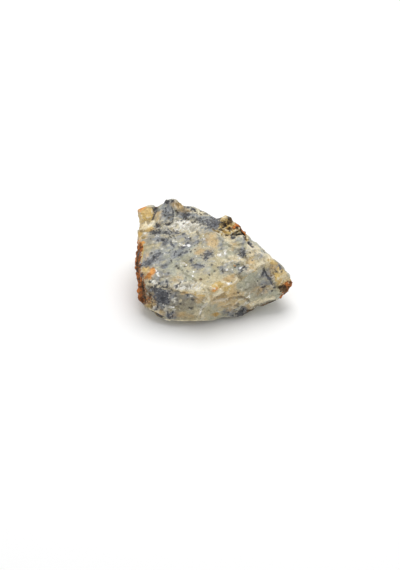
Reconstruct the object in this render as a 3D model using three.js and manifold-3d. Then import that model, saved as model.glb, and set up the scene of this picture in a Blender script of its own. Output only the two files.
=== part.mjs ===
// A rough lump of dendritic opal, one natural stone about 50 mm long, broken on every side.
// Millimetres, +Z up. +Y points away from the show side, +X towards the pointed end.
// It rests on a small flat spot under its middle. The origin is on the table, under the centre of its box.
import * as THREE from "three";
import { ConvexHull } from "three/addons/math/ConvexHull.js";
import { ImprovedNoise } from "three/addons/math/ImprovedNoise.js";
import { mergeVertices } from "three/addons/utils/BufferGeometryUtils.js";
import Module from "manifold-3d";

// ---- Driving dimensions -------------------------------------------------------------------------

const LONGEST_EDGE = 1.7; // no side of a triangle is longer than this, before the relief
const SAME_FACE = 0.93; // two triangles whose normals agree this well belong to one face
const HEART = [-1.5, 5.5, 11]; // every corner can be seen from here, so the net is drawn round it

const ROLL = { height: 0.22, length: 9 }; // the gentle swell of the broken faces
const FLAKES = { height: 0.8, size: 6 }; // flat scars that lie at slightly different slopes
const CRUST_KNOBS = { height: 0.6, length: 3.4 }; // the knobbly rust crust on the left end and on the tip
const POCKET_GRAINS = { height: 0.6, length: 3 }; // the crumbly filling of the pocket
// Flakes lost along the edges: how many, their least and most width, and how deep and how tilted they are.
const CHIPS = { count: 60, least: 1.5, most: 2.8, depth: 0.17, tilt: 0.5, seed: 2 };
const EDGE_HEIGHT = 0.2; // a point that stands this far proud of its neighbours lies on an edge

// Corners of the stone, [x, y, z], in groups that follow its edges.
const CORNERS = {
  // The broad fracture face on top slopes down towards the front, and ends there in a long ridge.
  frontRidge: [
    [-21.5, -13.5, 14], [-18, -14, 14], [-14, -15.5, 13.5], [-10, -16.5, 13.5], [-5.5, -17.5, 13.5],
    [-2.5, -17, 13.5], [-0.5, -16.5, 14], [2, -15.5, 14.5], [5, -15, 14.5], [7.5, -13, 15.5],
    [9.5, -11.5, 16.5], [12, -10.5, 17], [14, -9, 17.5], [16, -8, 18],
  ],
  topLeftEdge: [[-23, -8.5, 16], [-23, -6, 16.5], [-23, -2, 18], [-23, 0.5, 19]],
  topBackEdge: [
    [-20, 4.5, 20.5], [-18, 6, 21], [-14.5, 6.5, 21.5], [-12, 7.5, 22], [-9.5, 8, 22.5], [-7, 7, 22],
    [-5, 5.5, 21.5], [-2.5, 4.5, 21.5], [-0.5, 4, 21.5], [1.5, 2.5, 21], [3.5, 1, 20.5], [5.5, 0.5, 20.5],
    [7, 1.5, 21], [9, 1, 21], [11, -1.5, 20], [12.5, -3.5, 19.5], [15, -5.5, 19], [16.5, -7, 18.5],
  ],
  // The crest runs from the upper left corner over the peak and down to the pointed end.
  crest: [
    [-24, 13.5, 22], [-21, 14.5, 22.5], [-18, 14.5, 23],
    [-17, 15.5, 21], [-16, 14, 24.5], [-14.5, 13.5, 26.5],
    [-12.5, 13, 26.5], [-11, 12, 26], [-9.5, 11.5, 25], [-6.5, 11, 25], [-4, 11, 24], [-2, 10.5, 23.5],
    [-0.5, 11, 20.5], [1.5, 9, 23], [3.5, 9, 23.5], [5, 8.5, 23], [6, 8, 22.5], [7.5, 7.5, 21.5],
    [8.5, 5.5, 21], [10, 4, 20], [11.5, 2.5, 19], [13, 2, 18],
    [15, 0, 17], [17.5, -1, 15.5], [19.5, -3, 14.5],
    [21.5, -4.5, 13], [23.5, -7, 12],
  ],
  // A notch parts the corner block from the peak, and a ledge lies in front of it.
  notch: [[-18, 12.5, 22], [-19, 10.5, 21], [-17, 9.5, 23], [-22, 9, 20.5], [-13.5, 9.5, 24], [-9, 9, 24]],
  leftLedge: [[-23.5, 7.5, 20], [-24.5, 6.5, 19], [-24, 4.5, 18.5]],
  // A broken pocket behind the top face, with an undercut rim.
  pocket: [
    [2, 5.5, 21], [4, 3, 19.5], [5.5, 3, 18.5], [7.5, 4, 19],
    [2.5, 7, 22], [4.5, 6, 20.5], [7, 6.5, 20.5],
    [4.5, 7.5, 22], [9, 4, 20],
  ],
  // The rust crust on the left end.
  leftEnd: [
    [-24.5, 1.5, 16], [-25, -1.5, 14], [-25, -3.5, 12], [-24.5, -6, 10], [-24, -8, 8], [-24.5, -9, 6],
    [-23.5, -10.5, 4.5], [-22.5, -12, 4], [-24, 7, 12], [-24, 12.5, 16], [-24, 3, 6.5], [-23, 9.5, 5],
    [-22, -5, 2.5], [-22, 3.5, 2],
  ],
  // The front, left of the crease and right of it.
  frontLeft: [
    [-21.5, -12.5, 9.5], [-20.5, -13.5, 7], [-17.5, -15, 8.5], [-13, -15.5, 8.5], [-8.5, -16.5, 7.5],
    [-17, -15.5, 5], [-12, -16, 5], [-7.5, -16.5, 4.5], [-7.5, -16.5, 11], [-4.5, -17, 10],
  ],
  crease: [[-2, -17.5, 11], [-2.5, -17.5, 9], [-4, -17, 7], [-4, -16.5, 4]],
  frontRight: [
    [-0.5, -16.5, 7.5], [3, -15.5, 7.5], [7.5, -14, 8.5], [11, -13, 7.5], [15, -12, 7], [18, -10.5, 7.5],
    [3.5, -15.5, 11.5], [8, -13.5, 12], [12.5, -11, 13], [15, -9.5, 14],
  ],
  // The block at the pointed end, and its rusty tip.
  pointedEnd: [
    [15.5, -8, 16], [16.5, -9.5, 14], [18.5, -10, 12.5],
    [20.5, -10, 10], [20.5, -10.5, 9], [19, -5.5, 15.5],
    [24.5, -8, 9], [24, -9, 8], [22.5, -10, 6.5], [21, -10.5, 5.5],
  ],
  // Where the front turns under the stone.
  lowerEdge: [
    [19, -11, 5], [16.5, -11.5, 4], [13.5, -11.5, 3], [11.5, -12.5, 2], [10, -12.5, 1.5], [8.5, -13.5, 1],
    [3.5, -14.5, 1], [-1.5, -16, 1], [-5, -16.5, 1],
    [-10.5, -16.5, 1], [-14, -16, 1], [-16.5, -15.5, 1.5],
    [-18.5, -14.5, 2.5], [-21.5, -13, 3],
  ],
  // The back, from under the crest down to the table.
  back: [
    [-23, 16, 18], [-16, 17.5, 19], [-9, 16, 19.5], [-2, 14.5, 18],
    [5, 12.5, 17.5], [10, 8.5, 15.5], [15, 5, 13],
    [20, 0.5, 11], [-22.5, 17.5, 10], [-13, 19, 11], [-5, 17, 9],
    [4, 14.5, 8.5], [12, 10, 7.5], [19, 4, 7.5],
    [23.5, -3, 7.5], [-19, 12.5, 2.5], [-11, 14, 2], [-2, 12, 1.5],
    [7, 8.5, 1.5], [14, 3.5, 2.5], [20, -4, 4],
  ],
  // The flat spot that the stone rests on is the cut of these low corners with the table.
  underside: [
    [-10, -8, -0.35], [-4, -9.5, -0.35], [2, -8, -0.35], [5, -4, -0.35], [2, 0.5, -0.35], [-4, 2, -0.35],
    [-9.5, 0.5, -0.35], [-12, -4, -0.35],
  ],
};

// Hollows in the surface, [x, y, z, radius, depth]. A lump has a negative depth.
const HOLLOWS = [
  [8.5, -13.5, 3, 2.2, 1.1], // a hole low on the front
  [8, -9.5, 17, 2.2, 0.7], // beside the broken patch on the right of the top face
  [11, -0.5, 19.5, 1.4, 0.6], // the crack behind the top face
  [-16, -15, 9.5, 4.5, 0.7], // the dark hollow on the left of the front
  [-17, 3.5, 20, 3.2, 0.7], // the groove under the ledge
  [-12, 4.5, 21, 3, 0.5], // the same groove, further right
  [7, -14, 7, 3.2, -0.6], // a lens-shaped lump on the right of the front
  [-17.5, 14.5, 22, 1.8, 0.6], // the gap between the corner block and the peak
  [-16, 18.5, 14, 6, 1.1], [-5, 16.5, 12, 5, -0.9],
  [3, 14.5, 15, 4, 0.9], [9, 11.5, 11, 5, 0.9], // the back
  [-10, 17, 5.5, 5, 0.8], [16, 5.5, 10, 4, -0.8], [-20, 16, 6.5, 4, -0.7], [2, 13, 5, 5, -0.7],
  [21, 0, 8, 3.5, 0.7], [-25, 5, 14, 4, 0.6], [-24, 9, 8, 4, -0.6], // the back and the left end
];

// ---- The net of corners -------------------------------------------------------------------------

const heart = new THREE.Vector3(...HEART);

/** Joins the corners into a closed net: neighbours in it are neighbours as seen from the heart. */
function netOf(corners) {
  const directions = corners.map((corner) => corner.clone().sub(heart).normalize());
  const indexOf = new Map(directions.map((direction, index) => [direction, index]));
  return new ConvexHull().setFromPoints(directions).faces.map((face) => {
    const triangle = [];
    let edge = face.edge;
    do {
      triangle.push(indexOf.get(edge.head().point));
      edge = edge.next;
    } while (edge !== face.edge);
    return triangle;
  });
}

/** The same text for the side from a to b as for the side from b to a. */
function sideKey(a, b) {
  return a < b ? `${a} ${b}` : `${b} ${a}`;
}

/** One triangle cut at the middles of its long sides, into two, three or four. */
function splitTriangle(corners, middles, points) {
  const cuts = middles.filter((middle) => middle !== undefined).length;
  if (cuts === 0) return [corners];
  if (cuts === 3) {
    const [a, b, c] = corners;
    const [ab, bc, ca] = middles;
    return [[a, ab, ca], [ab, b, bc], [ca, bc, c], [ab, bc, ca]];
  }
  // Turned so that the one cut side, or the one whole side, comes first.
  const first = middles.findIndex((middle) => (middle !== undefined) === (cuts === 1));
  const [a, b, c] = [0, 1, 2].map((step) => corners[(first + step) % 3]);
  const [ab, bc, ca] = [0, 1, 2].map((step) => middles[(first + step) % 3]);
  if (cuts === 1) return [[a, ab, c], [ab, b, c]];
  const shortWay = points[a].distanceTo(points[bc]) < points[b].distanceTo(points[ca]);
  return shortWay ? [[a, b, bc], [a, bc, ca], [ca, bc, c]] : [[a, b, ca], [b, bc, ca], [ca, bc, c]];
}

/** Splits every side longer than the limit at its middle. */
function splitLongSides(points, triangles, longest) {
  const middles = new Map();
  const middleOf = (a, b) => {
    if (points[a].distanceTo(points[b]) <= longest) return undefined;
    const key = sideKey(a, b);
    if (!middles.has(key)) middles.set(key, points.push(points[a].clone().lerp(points[b], 0.5)) - 1);
    return middles.get(key);
  };
  return triangles.flatMap(([a, b, c]) =>
    splitTriangle([a, b, c], [middleOf(a, b), middleOf(b, c), middleOf(c, a)], points),
  );
}

/** The two triangles that share each side, by the side's key. */
function pairsBySide(triangles) {
  const pairs = new Map();
  triangles.forEach(([a, b, c], index) => {
    for (const key of [sideKey(a, b), sideKey(b, c), sideKey(c, a)]) {
      pairs.set(key, [...(pairs.get(key) ?? []), index]);
    }
  });
  return pairs;
}

/** The outward unit normal of one triangle. */
function facing(points, [a, b, c]) {
  return new THREE.Triangle(points[a], points[b], points[c]).getNormal(new THREE.Vector3());
}

/** The angle between the ways from point c to points a and b. */
function angleAt(points, c, a, b) {
  return points[a].clone().sub(points[c]).angleTo(points[b].clone().sub(points[c]));
}

/** Where two triangles of one face are thin, turns their shared side to join their other corners. */
function turnSides(points, triangles) {
  const result = [...triangles];
  const pairs = pairsBySide(triangles);
  const sides = new Set(pairs.keys());
  const changed = new Set();
  for (const [first, second] of pairs.values()) {
    if (changed.has(first) || changed.has(second)) continue;
    const [one, other] = [triangles[first], triangles[second]];
    const start = one.findIndex((corner) => !other.includes(corner));
    const [c, a, b] = [0, 1, 2].map((step) => one[(start + step) % 3]);
    const d = other.find((corner) => !one.includes(corner));
    const outward = facing(points, one);
    if (sides.has(sideKey(c, d)) || outward.dot(facing(points, other)) < SAME_FACE) continue;
    if (angleAt(points, c, a, b) + angleAt(points, d, a, b) < Math.PI * 1.01) continue;
    const turned = [[c, a, d], [c, d, b]];
    if (turned.some((triangle) => facing(points, triangle).dot(outward) < 0.5)) continue;
    [result[first], result[second]] = turned;
    sides.add(sideKey(c, d));
    changed.add(first).add(second);
  }
  return result;
}

/** The neighbours of every point. */
function neighboursOf(points, triangles) {
  const around = points.map(() => new Set());
  for (const [a, b, c] of triangles) {
    around[a].add(b).add(c);
    around[b].add(c).add(a);
    around[c].add(a).add(b);
  }
  return around;
}

/** Evens out the points inside the faces. The corners and the points on the edges stay where they are. */
function evenOut(points, triangles, cornerCount) {
  const fixed = new Set(points.slice(0, cornerCount).keys());
  for (const [key, [first, second]] of pairsBySide(triangles)) {
    if (facing(points, triangles[first]).dot(facing(points, triangles[second])) >= SAME_FACE) continue;
    for (const index of key.split(" ")) fixed.add(Number(index));
  }
  const normals = normalsOf(points, triangles);
  neighboursOf(points, triangles).forEach((around, index) => {
    if (fixed.has(index)) return;
    const shift = new THREE.Vector3();
    for (const other of around) shift.add(points[other]);
    shift.divideScalar(around.size).sub(points[index]).projectOnPlane(normals[index]);
    points[index].addScaledVector(shift, 0.6);
  });
}

/** Covers the net with triangles of about the same size, and adds the points that they need. */
function refine(points, net, longest) {
  const cornerCount = points.length;
  let triangles = net;
  for (let limit = longest * 8; limit > longest * 0.99; limit /= Math.SQRT2) {
    triangles = splitLongSides(points, triangles, limit);
    for (let turn = 0; turn < 6; turn++) triangles = turnSides(points, triangles);
    evenOut(points, triangles, cornerCount);
  }
  return triangles;
}

/** Outward normals of the points. */
function normalsOf(points, triangles) {
  const shape = new THREE.BufferGeometry().setFromPoints(points).setIndex(triangles.flat());
  shape.computeVertexNormals();
  return points.map((_, index) => new THREE.Vector3().fromBufferAttribute(shape.attributes.normal, index));
}

// ---- Relief -------------------------------------------------------------------------------------

const noise = new ImprovedNoise();

/** Rises smoothly from 0 to 1 as the value goes from the start to the end. Either may be the larger. */
function ramp(start, end, value) {
  return THREE.MathUtils.smoothstep((value - start) / (end - start), 0, 1);
}

/** Smooth noise of about -1 to 1, whose lumps are as long as given. */
function lumps(point, length, seed) {
  const coarse = noise.noise(point.x / length + seed, point.y / length, point.z / length);
  const fine = noise.noise((2 * point.x) / length, (2 * point.y) / length + seed, (2 * point.z) / length);
  return 1.3 * coarse + 0.6 * fine;
}

/** A fixed number from 0 to 1 for a cell of a grid. */
function hash(i, j, k, salt) {
  const mixed = Math.sin(i * 127.1 + j * 311.7 + k * 74.7 + salt * 53.3) * 43758.5453;
  return THREE.MathUtils.euclideanModulo(mixed, 1);
}

/** Height of a patchwork of flat scars: each is a plane with a slope of its own through its own centre. */
function flakes(point, size) {
  const cell = point.clone().divideScalar(size).floor();
  let nearest = Infinity;
  let height = 0;
  for (let di = -1; di <= 1; di++)
    for (let dj = -1; dj <= 1; dj++)
      for (let dk = -1; dk <= 1; dk++) {
        const [i, j, k] = [cell.x + di, cell.y + dj, cell.z + dk];
        const centre = new THREE.Vector3(i + hash(i, j, k, 1), j + hash(i, j, k, 2), k + hash(i, j, k, 3));
        const away = point.clone().divideScalar(size).sub(centre);
        if (away.lengthSq() >= nearest) continue;
        nearest = away.lengthSq();
        const slope = new THREE.Vector3(hash(i, j, k, 4), hash(i, j, k, 5), hash(i, j, k, 6)).subScalar(0.5);
        height = away.dot(slope);
      }
  return height;
}

/** How much of the surface here is rust crust, from 0 to 1: the left end, and the underside of the tip. */
function crustAt(point, normal) {
  const leftEnd = ramp(0.35, 0.8, -normal.x) * ramp(-20.5, -22.5, point.x) * ramp(19.5, 17, point.z);
  const tip = ramp(20.5, 22.5, point.x) * ramp(12, 9.5, point.z);
  return Math.max(leftEnd, tip);
}

/** How much of the surface here lies in the pocket, from 0 to 1. */
function pocketAt(point) {
  return ramp(5.5, 3, point.distanceTo(new THREE.Vector3(5, 6.5, 21)));
}

/** How deep the hollows are here. */
function hollowAt(point) {
  const depths = HOLLOWS.map(([x, y, z, radius, depth]) => {
    const reach = point.distanceTo(new THREE.Vector3(x, y, z)) / radius;
    return depth * ramp(1, 0.2, reach);
  });
  return depths.reduce((sum, depth) => sum + depth, 0);
}

/** Moves every point along its normal by the relief of the place where it lies. */
function addRelief(points, normals) {
  points.forEach((point, index) => {
    const normal = normals[index];
    const crust = crustAt(point, normal);
    const pocket = pocketAt(point);
    const plain = 1 - Math.max(crust, pocket);
    const height =
      plain * (ROLL.height * lumps(point, ROLL.length, 3) + FLAKES.height * flakes(point, FLAKES.size)) +
      crust * CRUST_KNOBS.height * (lumps(point, CRUST_KNOBS.length, 7) - 0.5) +
      pocket * POCKET_GRAINS.height * lumps(point, POCKET_GRAINS.length, 11);
    const aboveTable = ramp(0, 2.5, point.z);
    point.addScaledVector(normal, aboveTable * height - hollowAt(point));
  });
}

/** The points on an outward edge, clear of the table: they stand proud of their neighbours' mean. */
function edgePoints(points, triangles, normals) {
  return neighboursOf(points, triangles).flatMap((around, index) => {
    const mean = new THREE.Vector3();
    for (const other of around) mean.add(points[other]);
    mean.divideScalar(around.size);
    const proud = points[index].clone().sub(mean).dot(normals[index]);
    return proud > EDGE_HEIGHT && points[index].z > CHIPS.most ? [index] : [];
  });
}

/** Breaks flakes off the edges: each one planes the points near it down to a tilted flat. */
function chipEdges(points, triangles, normals) {
  const edges = edgePoints(points, triangles, normals);
  for (let chip = 0; chip < CHIPS.count; chip++) {
    const index = edges[Math.floor(hash(chip, 0, 0, CHIPS.seed) * edges.length)];
    const size = CHIPS.least + (CHIPS.most - CHIPS.least) * hash(chip, 4, 0, CHIPS.seed) ** 2;
    const lean = new THREE.Vector3(...[1, 2, 3].map((axis) => hash(chip, axis, 0, CHIPS.seed) - 0.5));
    const outward = normals[index].clone().addScaledVector(lean, 2 * CHIPS.tilt).normalize();
    const flat = points[index].clone().addScaledVector(outward, -CHIPS.depth * size);
    for (const point of points) {
      const away = point.clone().sub(flat);
      if (away.length() < size) point.addScaledVector(outward, -Math.max(0, away.dot(outward)));
    }
  }
}

// ---- The stone ----------------------------------------------------------------------------------

const wasm = await Module();
wasm.setup();

/** The solid that a closed geometry bounds. */
function solidOf(geometry) {
  geometry.deleteAttribute("normal");
  geometry.deleteAttribute("uv");
  const merged = mergeVertices(geometry, 1e-4);
  return new wasm.Manifold(
    new wasm.Mesh({
      numProp: 3,
      vertProperties: new Float32Array(merged.attributes.position.array),
      triVerts: new Uint32Array(merged.index.array),
    }),
  );
}

/** The surface of a solid, as a geometry. */
function geometryOf(solid) {
  const mesh = solid.getMesh();
  return new THREE.BufferGeometry()
    .setAttribute("position", new THREE.BufferAttribute(new Float32Array(mesh.vertProperties), 3))
    .setIndex(new THREE.BufferAttribute(new Uint32Array(mesh.triVerts), 1));
}

/** Takes away whatever lies under the table, z = 0. */
function cutAtTable(geometry) {
  const reach = 200;
  const below = new THREE.BoxGeometry(reach, reach, reach).translate(0, 0, -reach / 2);
  return geometryOf(solidOf(geometry).subtract(solidOf(below)));
}

const points = Object.values(CORNERS).flat().map((corner) => new THREE.Vector3(...corner));
const triangles = refine(points, netOf(points), LONGEST_EDGE);
addRelief(points, normalsOf(points, triangles));
chipEdges(points, triangles, normalsOf(points, triangles));

const broken = new THREE.BufferGeometry().setFromPoints(points).setIndex(triangles.flat());
const geometry = cutAtTable(broken);
geometry.computeBoundingBox();
const middle = geometry.boundingBox.getCenter(new THREE.Vector3());
geometry.translate(-middle.x, -middle.y, 0);
geometry.computeVertexNormals();

const opal = new THREE.MeshStandardMaterial({ color: 0xb3aa8c, roughness: 0.42, metalness: 0 });
const stone = new THREE.Mesh(geometry, opal);
stone.name = "opal_stone";
const part = new THREE.Group();
part.add(stone);

export default part;
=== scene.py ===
"""Dresses a rough dendritic opal, one natural stone about 49 mm long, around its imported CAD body.

The solid gives the stone its form. This script adds what is finer than its facets as a mesh: the scars,
flakes and crumbs of the broken surface, and the rounded rim that it rests on. The opal's colours are a
procedural material. Lengths here are in millimetres, and Blender's own are in metres.
"""

import logging
import math
from dataclasses import dataclass, field, fields, replace
from enum import Enum

import bmesh
import bpy
import numpy as np
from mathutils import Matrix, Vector, kdtree
from mathutils.bvhtree import BVHTree


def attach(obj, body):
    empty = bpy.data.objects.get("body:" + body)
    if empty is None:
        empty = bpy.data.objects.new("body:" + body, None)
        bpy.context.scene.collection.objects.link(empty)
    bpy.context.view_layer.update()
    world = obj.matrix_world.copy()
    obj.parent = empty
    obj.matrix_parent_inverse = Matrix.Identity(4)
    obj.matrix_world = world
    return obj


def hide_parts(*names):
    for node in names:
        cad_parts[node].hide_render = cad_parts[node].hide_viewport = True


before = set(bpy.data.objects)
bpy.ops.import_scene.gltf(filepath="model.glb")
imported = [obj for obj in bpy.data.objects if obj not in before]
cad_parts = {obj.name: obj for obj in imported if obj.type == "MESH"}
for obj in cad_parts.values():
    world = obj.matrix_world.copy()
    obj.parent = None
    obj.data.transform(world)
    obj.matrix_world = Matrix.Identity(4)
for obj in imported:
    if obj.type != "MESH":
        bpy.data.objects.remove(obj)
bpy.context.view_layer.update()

LOG = logging.getLogger("opal")
MM = 0.001  # one millimetre in metres
PIECE = "opal"
NODE = "opal_stone"
BODY = "root"
EDGE = "edge"  # the mesh attribute that is high on sharp edges and low in cracks
BEDDING = (0.86, 0.36, 0.36)  # the direction that the opal's streaks run in
TINY = 1e-6  # keeps a division from 0

Colour = tuple[float, float, float]
Place = tuple[float, float, float]
Pair = tuple[float, float]
Pixel = tuple[float, float]
Material = bpy.types.Material
Mesh = bpy.types.Mesh
Node = bpy.types.Node
Object = bpy.types.Object
Socket = bpy.types.NodeSocket
Tree = bpy.types.NodeTree


# ---- The camera ----


@dataclass(frozen=True)
class ShowCamera:
    """The camera that looks down on the show side, along +Y.

    Attributes:
        aim: The point that it looks at.
        distance: How far away that is.
        elevation: How steeply it looks down, in degrees.
        lens: Its focal length.
        sensor: Width of its sensor.
        clip: The nearest and furthest that it sees, in metres.
        picture: Width and height of its picture, in pixels.
    """

    aim: Place = (-4.17, -5.31, 6.2)
    distance: float = 425.0
    elevation: float = 40.0
    lens: float = 85.0
    sensor: float = 36.0
    clip: Pair = (0.01, 20.0)
    picture: tuple[int, int] = (400, 570)

    @property
    def forward(self) -> Vector:
        """The way that the camera looks."""
        tilt = math.radians(self.elevation)
        return Vector((0.0, math.cos(tilt), -math.sin(tilt)))

    @property
    def upward(self) -> Vector:
        """The picture's upward direction."""
        tilt = math.radians(self.elevation)
        return Vector((0.0, math.sin(tilt), math.cos(tilt)))

    @property
    def eye(self) -> Vector:
        """Where the camera is."""
        return Vector(self.aim) - self.forward * self.distance

    @property
    def focal_pixels(self) -> float:
        """The focal length in pixels. The sensor's width lies along the picture's longer side."""
        return self.lens / self.sensor * max(self.picture)

    @property
    def mm_per_pixel(self) -> float:
        """How much one pixel spans where the camera aims."""
        return self.distance / self.focal_pixels

    def ray(self, pixel: Pixel) -> Vector:
        """The direction from the eye through a pixel.

        Args:
            pixel: Right and down from the picture's upper left corner.

        Returns:
            The direction, of length 1.
        """
        right = pixel[0] - self.picture[0] / 2
        up = self.picture[1] / 2 - pixel[1]
        way = self.forward * self.focal_pixels + Vector((right, 0.0, 0.0)) + self.upward * up
        return way.normalized()

    def project(self, points: np.ndarray) -> np.ndarray:
        """Where points show in the picture.

        Args:
            points: One row of x, y, z for each point.

        Returns:
            One row for each point, right and down in pixels.
        """
        away = points - np.array(self.eye)
        depth = away @ np.array(self.forward)
        right = self.picture[0] / 2 + self.focal_pixels * away[:, 0] / depth
        down = self.picture[1] / 2 - self.focal_pixels * (away @ np.array(self.upward)) / depth
        return np.stack([right, down], axis=1)

    def build(self) -> None:
        """Makes the camera and sets it as the scene's own."""
        data = bpy.data.cameras.new("show_camera")
        data.lens = self.lens
        data.sensor_width = self.sensor
        data.clip_start, data.clip_end = self.clip
        camera = bpy.data.objects.new("show_camera", data)
        camera.location = self.eye * MM
        camera.rotation_euler = (math.radians(90.0 - self.elevation), 0.0, 0.0)
        bpy.context.scene.collection.objects.link(camera)
        bpy.context.scene.camera = camera


# ---- Finishes ----


class Look(Enum):
    """The looks that cover the plain opal in patches. Each is also the name of a mesh attribute."""

    SMOKE = "smoke"
    HAZE = "haze"
    TAN = "tan"
    AMBER = "amber"
    IVORY = "ivory"
    CHALK = "chalk"
    ORANGE = "orange"
    OCHRE = "ochre"
    RUST = "rust"
    UMBER = "umber"
    # Dark dendrites; a few of its marks are painted shadow in cracks, pits and under lips.
    MOSS = "moss"
    SPECK = "speck"
    GLINT = "glint"


class Form(Enum):
    """What is carved into the show side. Each is also the name of a mesh attribute."""

    GROOVE = "groove"
    HACKLE = "hackle"


@dataclass(frozen=True)
class Finish:
    """How a look colours the stone.

    Attributes:
        light: Its lighter colour.
        dark: Its darker colour.
        cover: How much of the opal it hides where it is thickest.
        grain: Width of its mottling.
        stretch: How many times longer the mottling is along the bedding.
        ragged: How much the mottling breaks up its rim, from 0 to 1.
        soft: Width of its rim, from 0 to 1.
        roughness: Roughness of its surface.
    """

    light: Colour
    dark: Colour
    cover: float
    grain: float
    stretch: float
    ragged: float
    soft: float
    roughness: float


# In the order that they are laid, from the bottom up.
FINISHES: dict[Look, Finish] = {
    # Grey-brown; also laid as painted shade below the main ridge and on the under side at the lower right.
    Look.SMOKE: Finish((0.30, 0.265, 0.19), (0.20, 0.18, 0.14), 0.88, 1.8, 1.6, 0.5, 0.34, 0.42),
    Look.HAZE: Finish((0.315, 0.33, 0.345), (0.145, 0.16, 0.195), 0.88, 1.3, 2.0, 0.8, 0.40, 0.40),
    Look.TAN: Finish((0.66, 0.475, 0.23), (0.48, 0.325, 0.145), 0.84, 1.8, 1.4, 0.6, 0.34, 0.42),
    Look.OCHRE: Finish((0.53, 0.395, 0.15), (0.13, 0.082, 0.034), 0.96, 0.8, 1.0, 0.4, 0.14, 0.65),
    Look.AMBER: Finish((0.66, 0.47, 0.165), (0.48, 0.30, 0.09), 0.95, 2.0, 1.2, 0.35, 0.20, 0.35),
    Look.IVORY: Finish((0.84, 0.755, 0.54), (0.65, 0.555, 0.36), 0.88, 1.0, 1.8, 0.6, 0.24, 0.50),
    Look.CHALK: Finish((0.92, 0.90, 0.83), (0.52, 0.49, 0.40), 0.95, 0.7, 2.2, 0.8, 0.16, 0.70),
    Look.ORANGE: Finish((0.78, 0.36, 0.085), (0.54, 0.21, 0.045), 0.97, 0.9, 1.5, 0.6, 0.20, 0.60),
    Look.RUST: Finish((0.60, 0.20, 0.045), (0.115, 0.042, 0.016), 1.00, 0.6, 1.6, 0.6, 0.18, 0.85),
    # Dark brown; also laid as painted shade under the lower right edge and under the tip.
    Look.UMBER: Finish((0.17, 0.105, 0.05), (0.028, 0.018, 0.010), 0.97, 0.6, 1.2, 0.6, 0.16, 0.75),
    # Dark dendrites, and painted shadow in the pocket's crack, the lower right pit and under the left lip.
    Look.MOSS: Finish((0.095, 0.098, 0.112), (0.018, 0.018, 0.023), 0.92, 0.55, 1.5, 1.0, 0.26, 0.40),
    Look.SPECK: Finish((0.10, 0.095, 0.085), (0.03, 0.03, 0.03), 0.86, 0.5, 1.4, 0.6, 0.26, 0.45),
    Look.GLINT: Finish((0.98, 0.98, 0.96), (0.85, 0.85, 0.82), 1.00, 0.4, 1.0, 0.3, 0.15, 0.20),
}


@dataclass(frozen=True)
class Veil:
    """A colour that drifts through the plain opal.

    Attributes:
        colour: Its colour.
        size: Length of its clouds.
        detail: How many finer layers they have.
        rough: How strong those are.
        rise: The noise levels where it starts and where it is whole.
        share: How much it hides there.
    """

    colour: Colour
    size: float
    detail: float
    rough: float
    rise: Pair
    share: float


@dataclass(frozen=True)
class EdgeTone:
    """What whitens the sharp edges or darkens the cracks.

    Attributes:
        colour: Its colour.
        crumble: How much noise is added to the measure of the edges, which breaks up its rim.
        rise: The levels of that sum where it starts and where it is whole.
        share: How much it hides there.
    """

    colour: Colour
    crumble: float
    rise: Pair
    share: float


PALE_GREEN = Veil((0.44, 0.435, 0.325), 7.0, 3.0, 0.5, (0.40, 0.60), 1.0)
MILK = Veil((0.60, 0.57, 0.46), 2.1, 4.0, 0.6, (0.52, 0.78), 0.75)
GREY_WISP = Veil((0.30, 0.305, 0.27), 1.6, 5.0, 0.65, (0.54, 0.74), 0.55)
CHIPPED_WHITE = EdgeTone((0.74, 0.69, 0.57), 0.5, (0.95, 1.35), 0.55)
# Darkens the surface in its cracks, where it curves in.
CRACK_DARKENING = EdgeTone((0.17, 0.125, 0.07), -0.4, (0.08, -0.22), 0.45)


@dataclass(frozen=True)
class OpalBody:
    """The plain opal, which shows between the patches.

    Attributes:
        cream: Its ground colour.
        veils: What drifts through it, from the bottom up.
        bend: How far the veils are bent, and the length of their bends.
        wear: What lies on its edges and in its cracks.
        wear_size: Length of the noise that crumbles the whitened edges and the darkened cracks.
        grain_size: Length of the light and dark grains.
        grain_shades: What the darkest and lightest grains multiply the colour by.
        bump_size: Length of the grains that are felt but are finer than the mesh.
        bump_height: Their height.
        bump_strength: How much of that height counts.
        roughness: Roughness of a fresh, waxy break.
        ior: Index of refraction of opal.
        gloss: How strongly it mirrors.
        scatter: How much of the light passes under the surface.
        scatter_colour: How far red, green and blue travel there, as shares of the radius.
        scatter_radius: How far the light travels there.
    """

    cream: Colour = (0.53, 0.46, 0.28)
    veils: tuple[Veil, ...] = (PALE_GREEN, MILK, GREY_WISP)
    bend: Pair = (3.0, 3.0)
    wear: tuple[EdgeTone, ...] = (CHIPPED_WHITE, CRACK_DARKENING)
    wear_size: float = 0.9
    grain_size: float = 0.42
    grain_shades: Pair = (0.72, 1.28)
    bump_size: float = 0.32
    bump_height: float = 0.09
    bump_strength: float = 0.45
    roughness: float = 0.42
    ior: float = 1.45
    gloss: float = 0.35
    scatter: float = 0.12
    scatter_colour: Colour = (1.0, 0.8, 0.6)
    scatter_radius: float = 0.7


# ---- Where the patches lie ----


@dataclass(frozen=True)
class Mark:
    """An oval patch on the show side.

    Attributes:
        name: What it is.
        seen_at: The show camera's pixel where its middle is seen.
        size: Half its length and half its width, in millimetres, as seen from there.
        turn: How far its length is turned up from the picture's right, in degrees.
        strength: How whole it is. The mottling leaves only crumbs of a weak one.
    """

    name: str
    seen_at: Pixel
    size: Pair
    turn: float = 0.0
    strength: float = 1.0


@dataclass(frozen=True)
class Line:
    """A narrow patch or groove on the show side.

    Attributes:
        name: What it is.
        path: The show camera's pixels that it passes through.
        half_width: Half its width, in millimetres.
        strength: How whole it is, or how deep a groove is, in millimetres.
    """

    name: str
    path: tuple[Pixel, ...]
    half_width: float
    strength: float = 1.0


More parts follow.
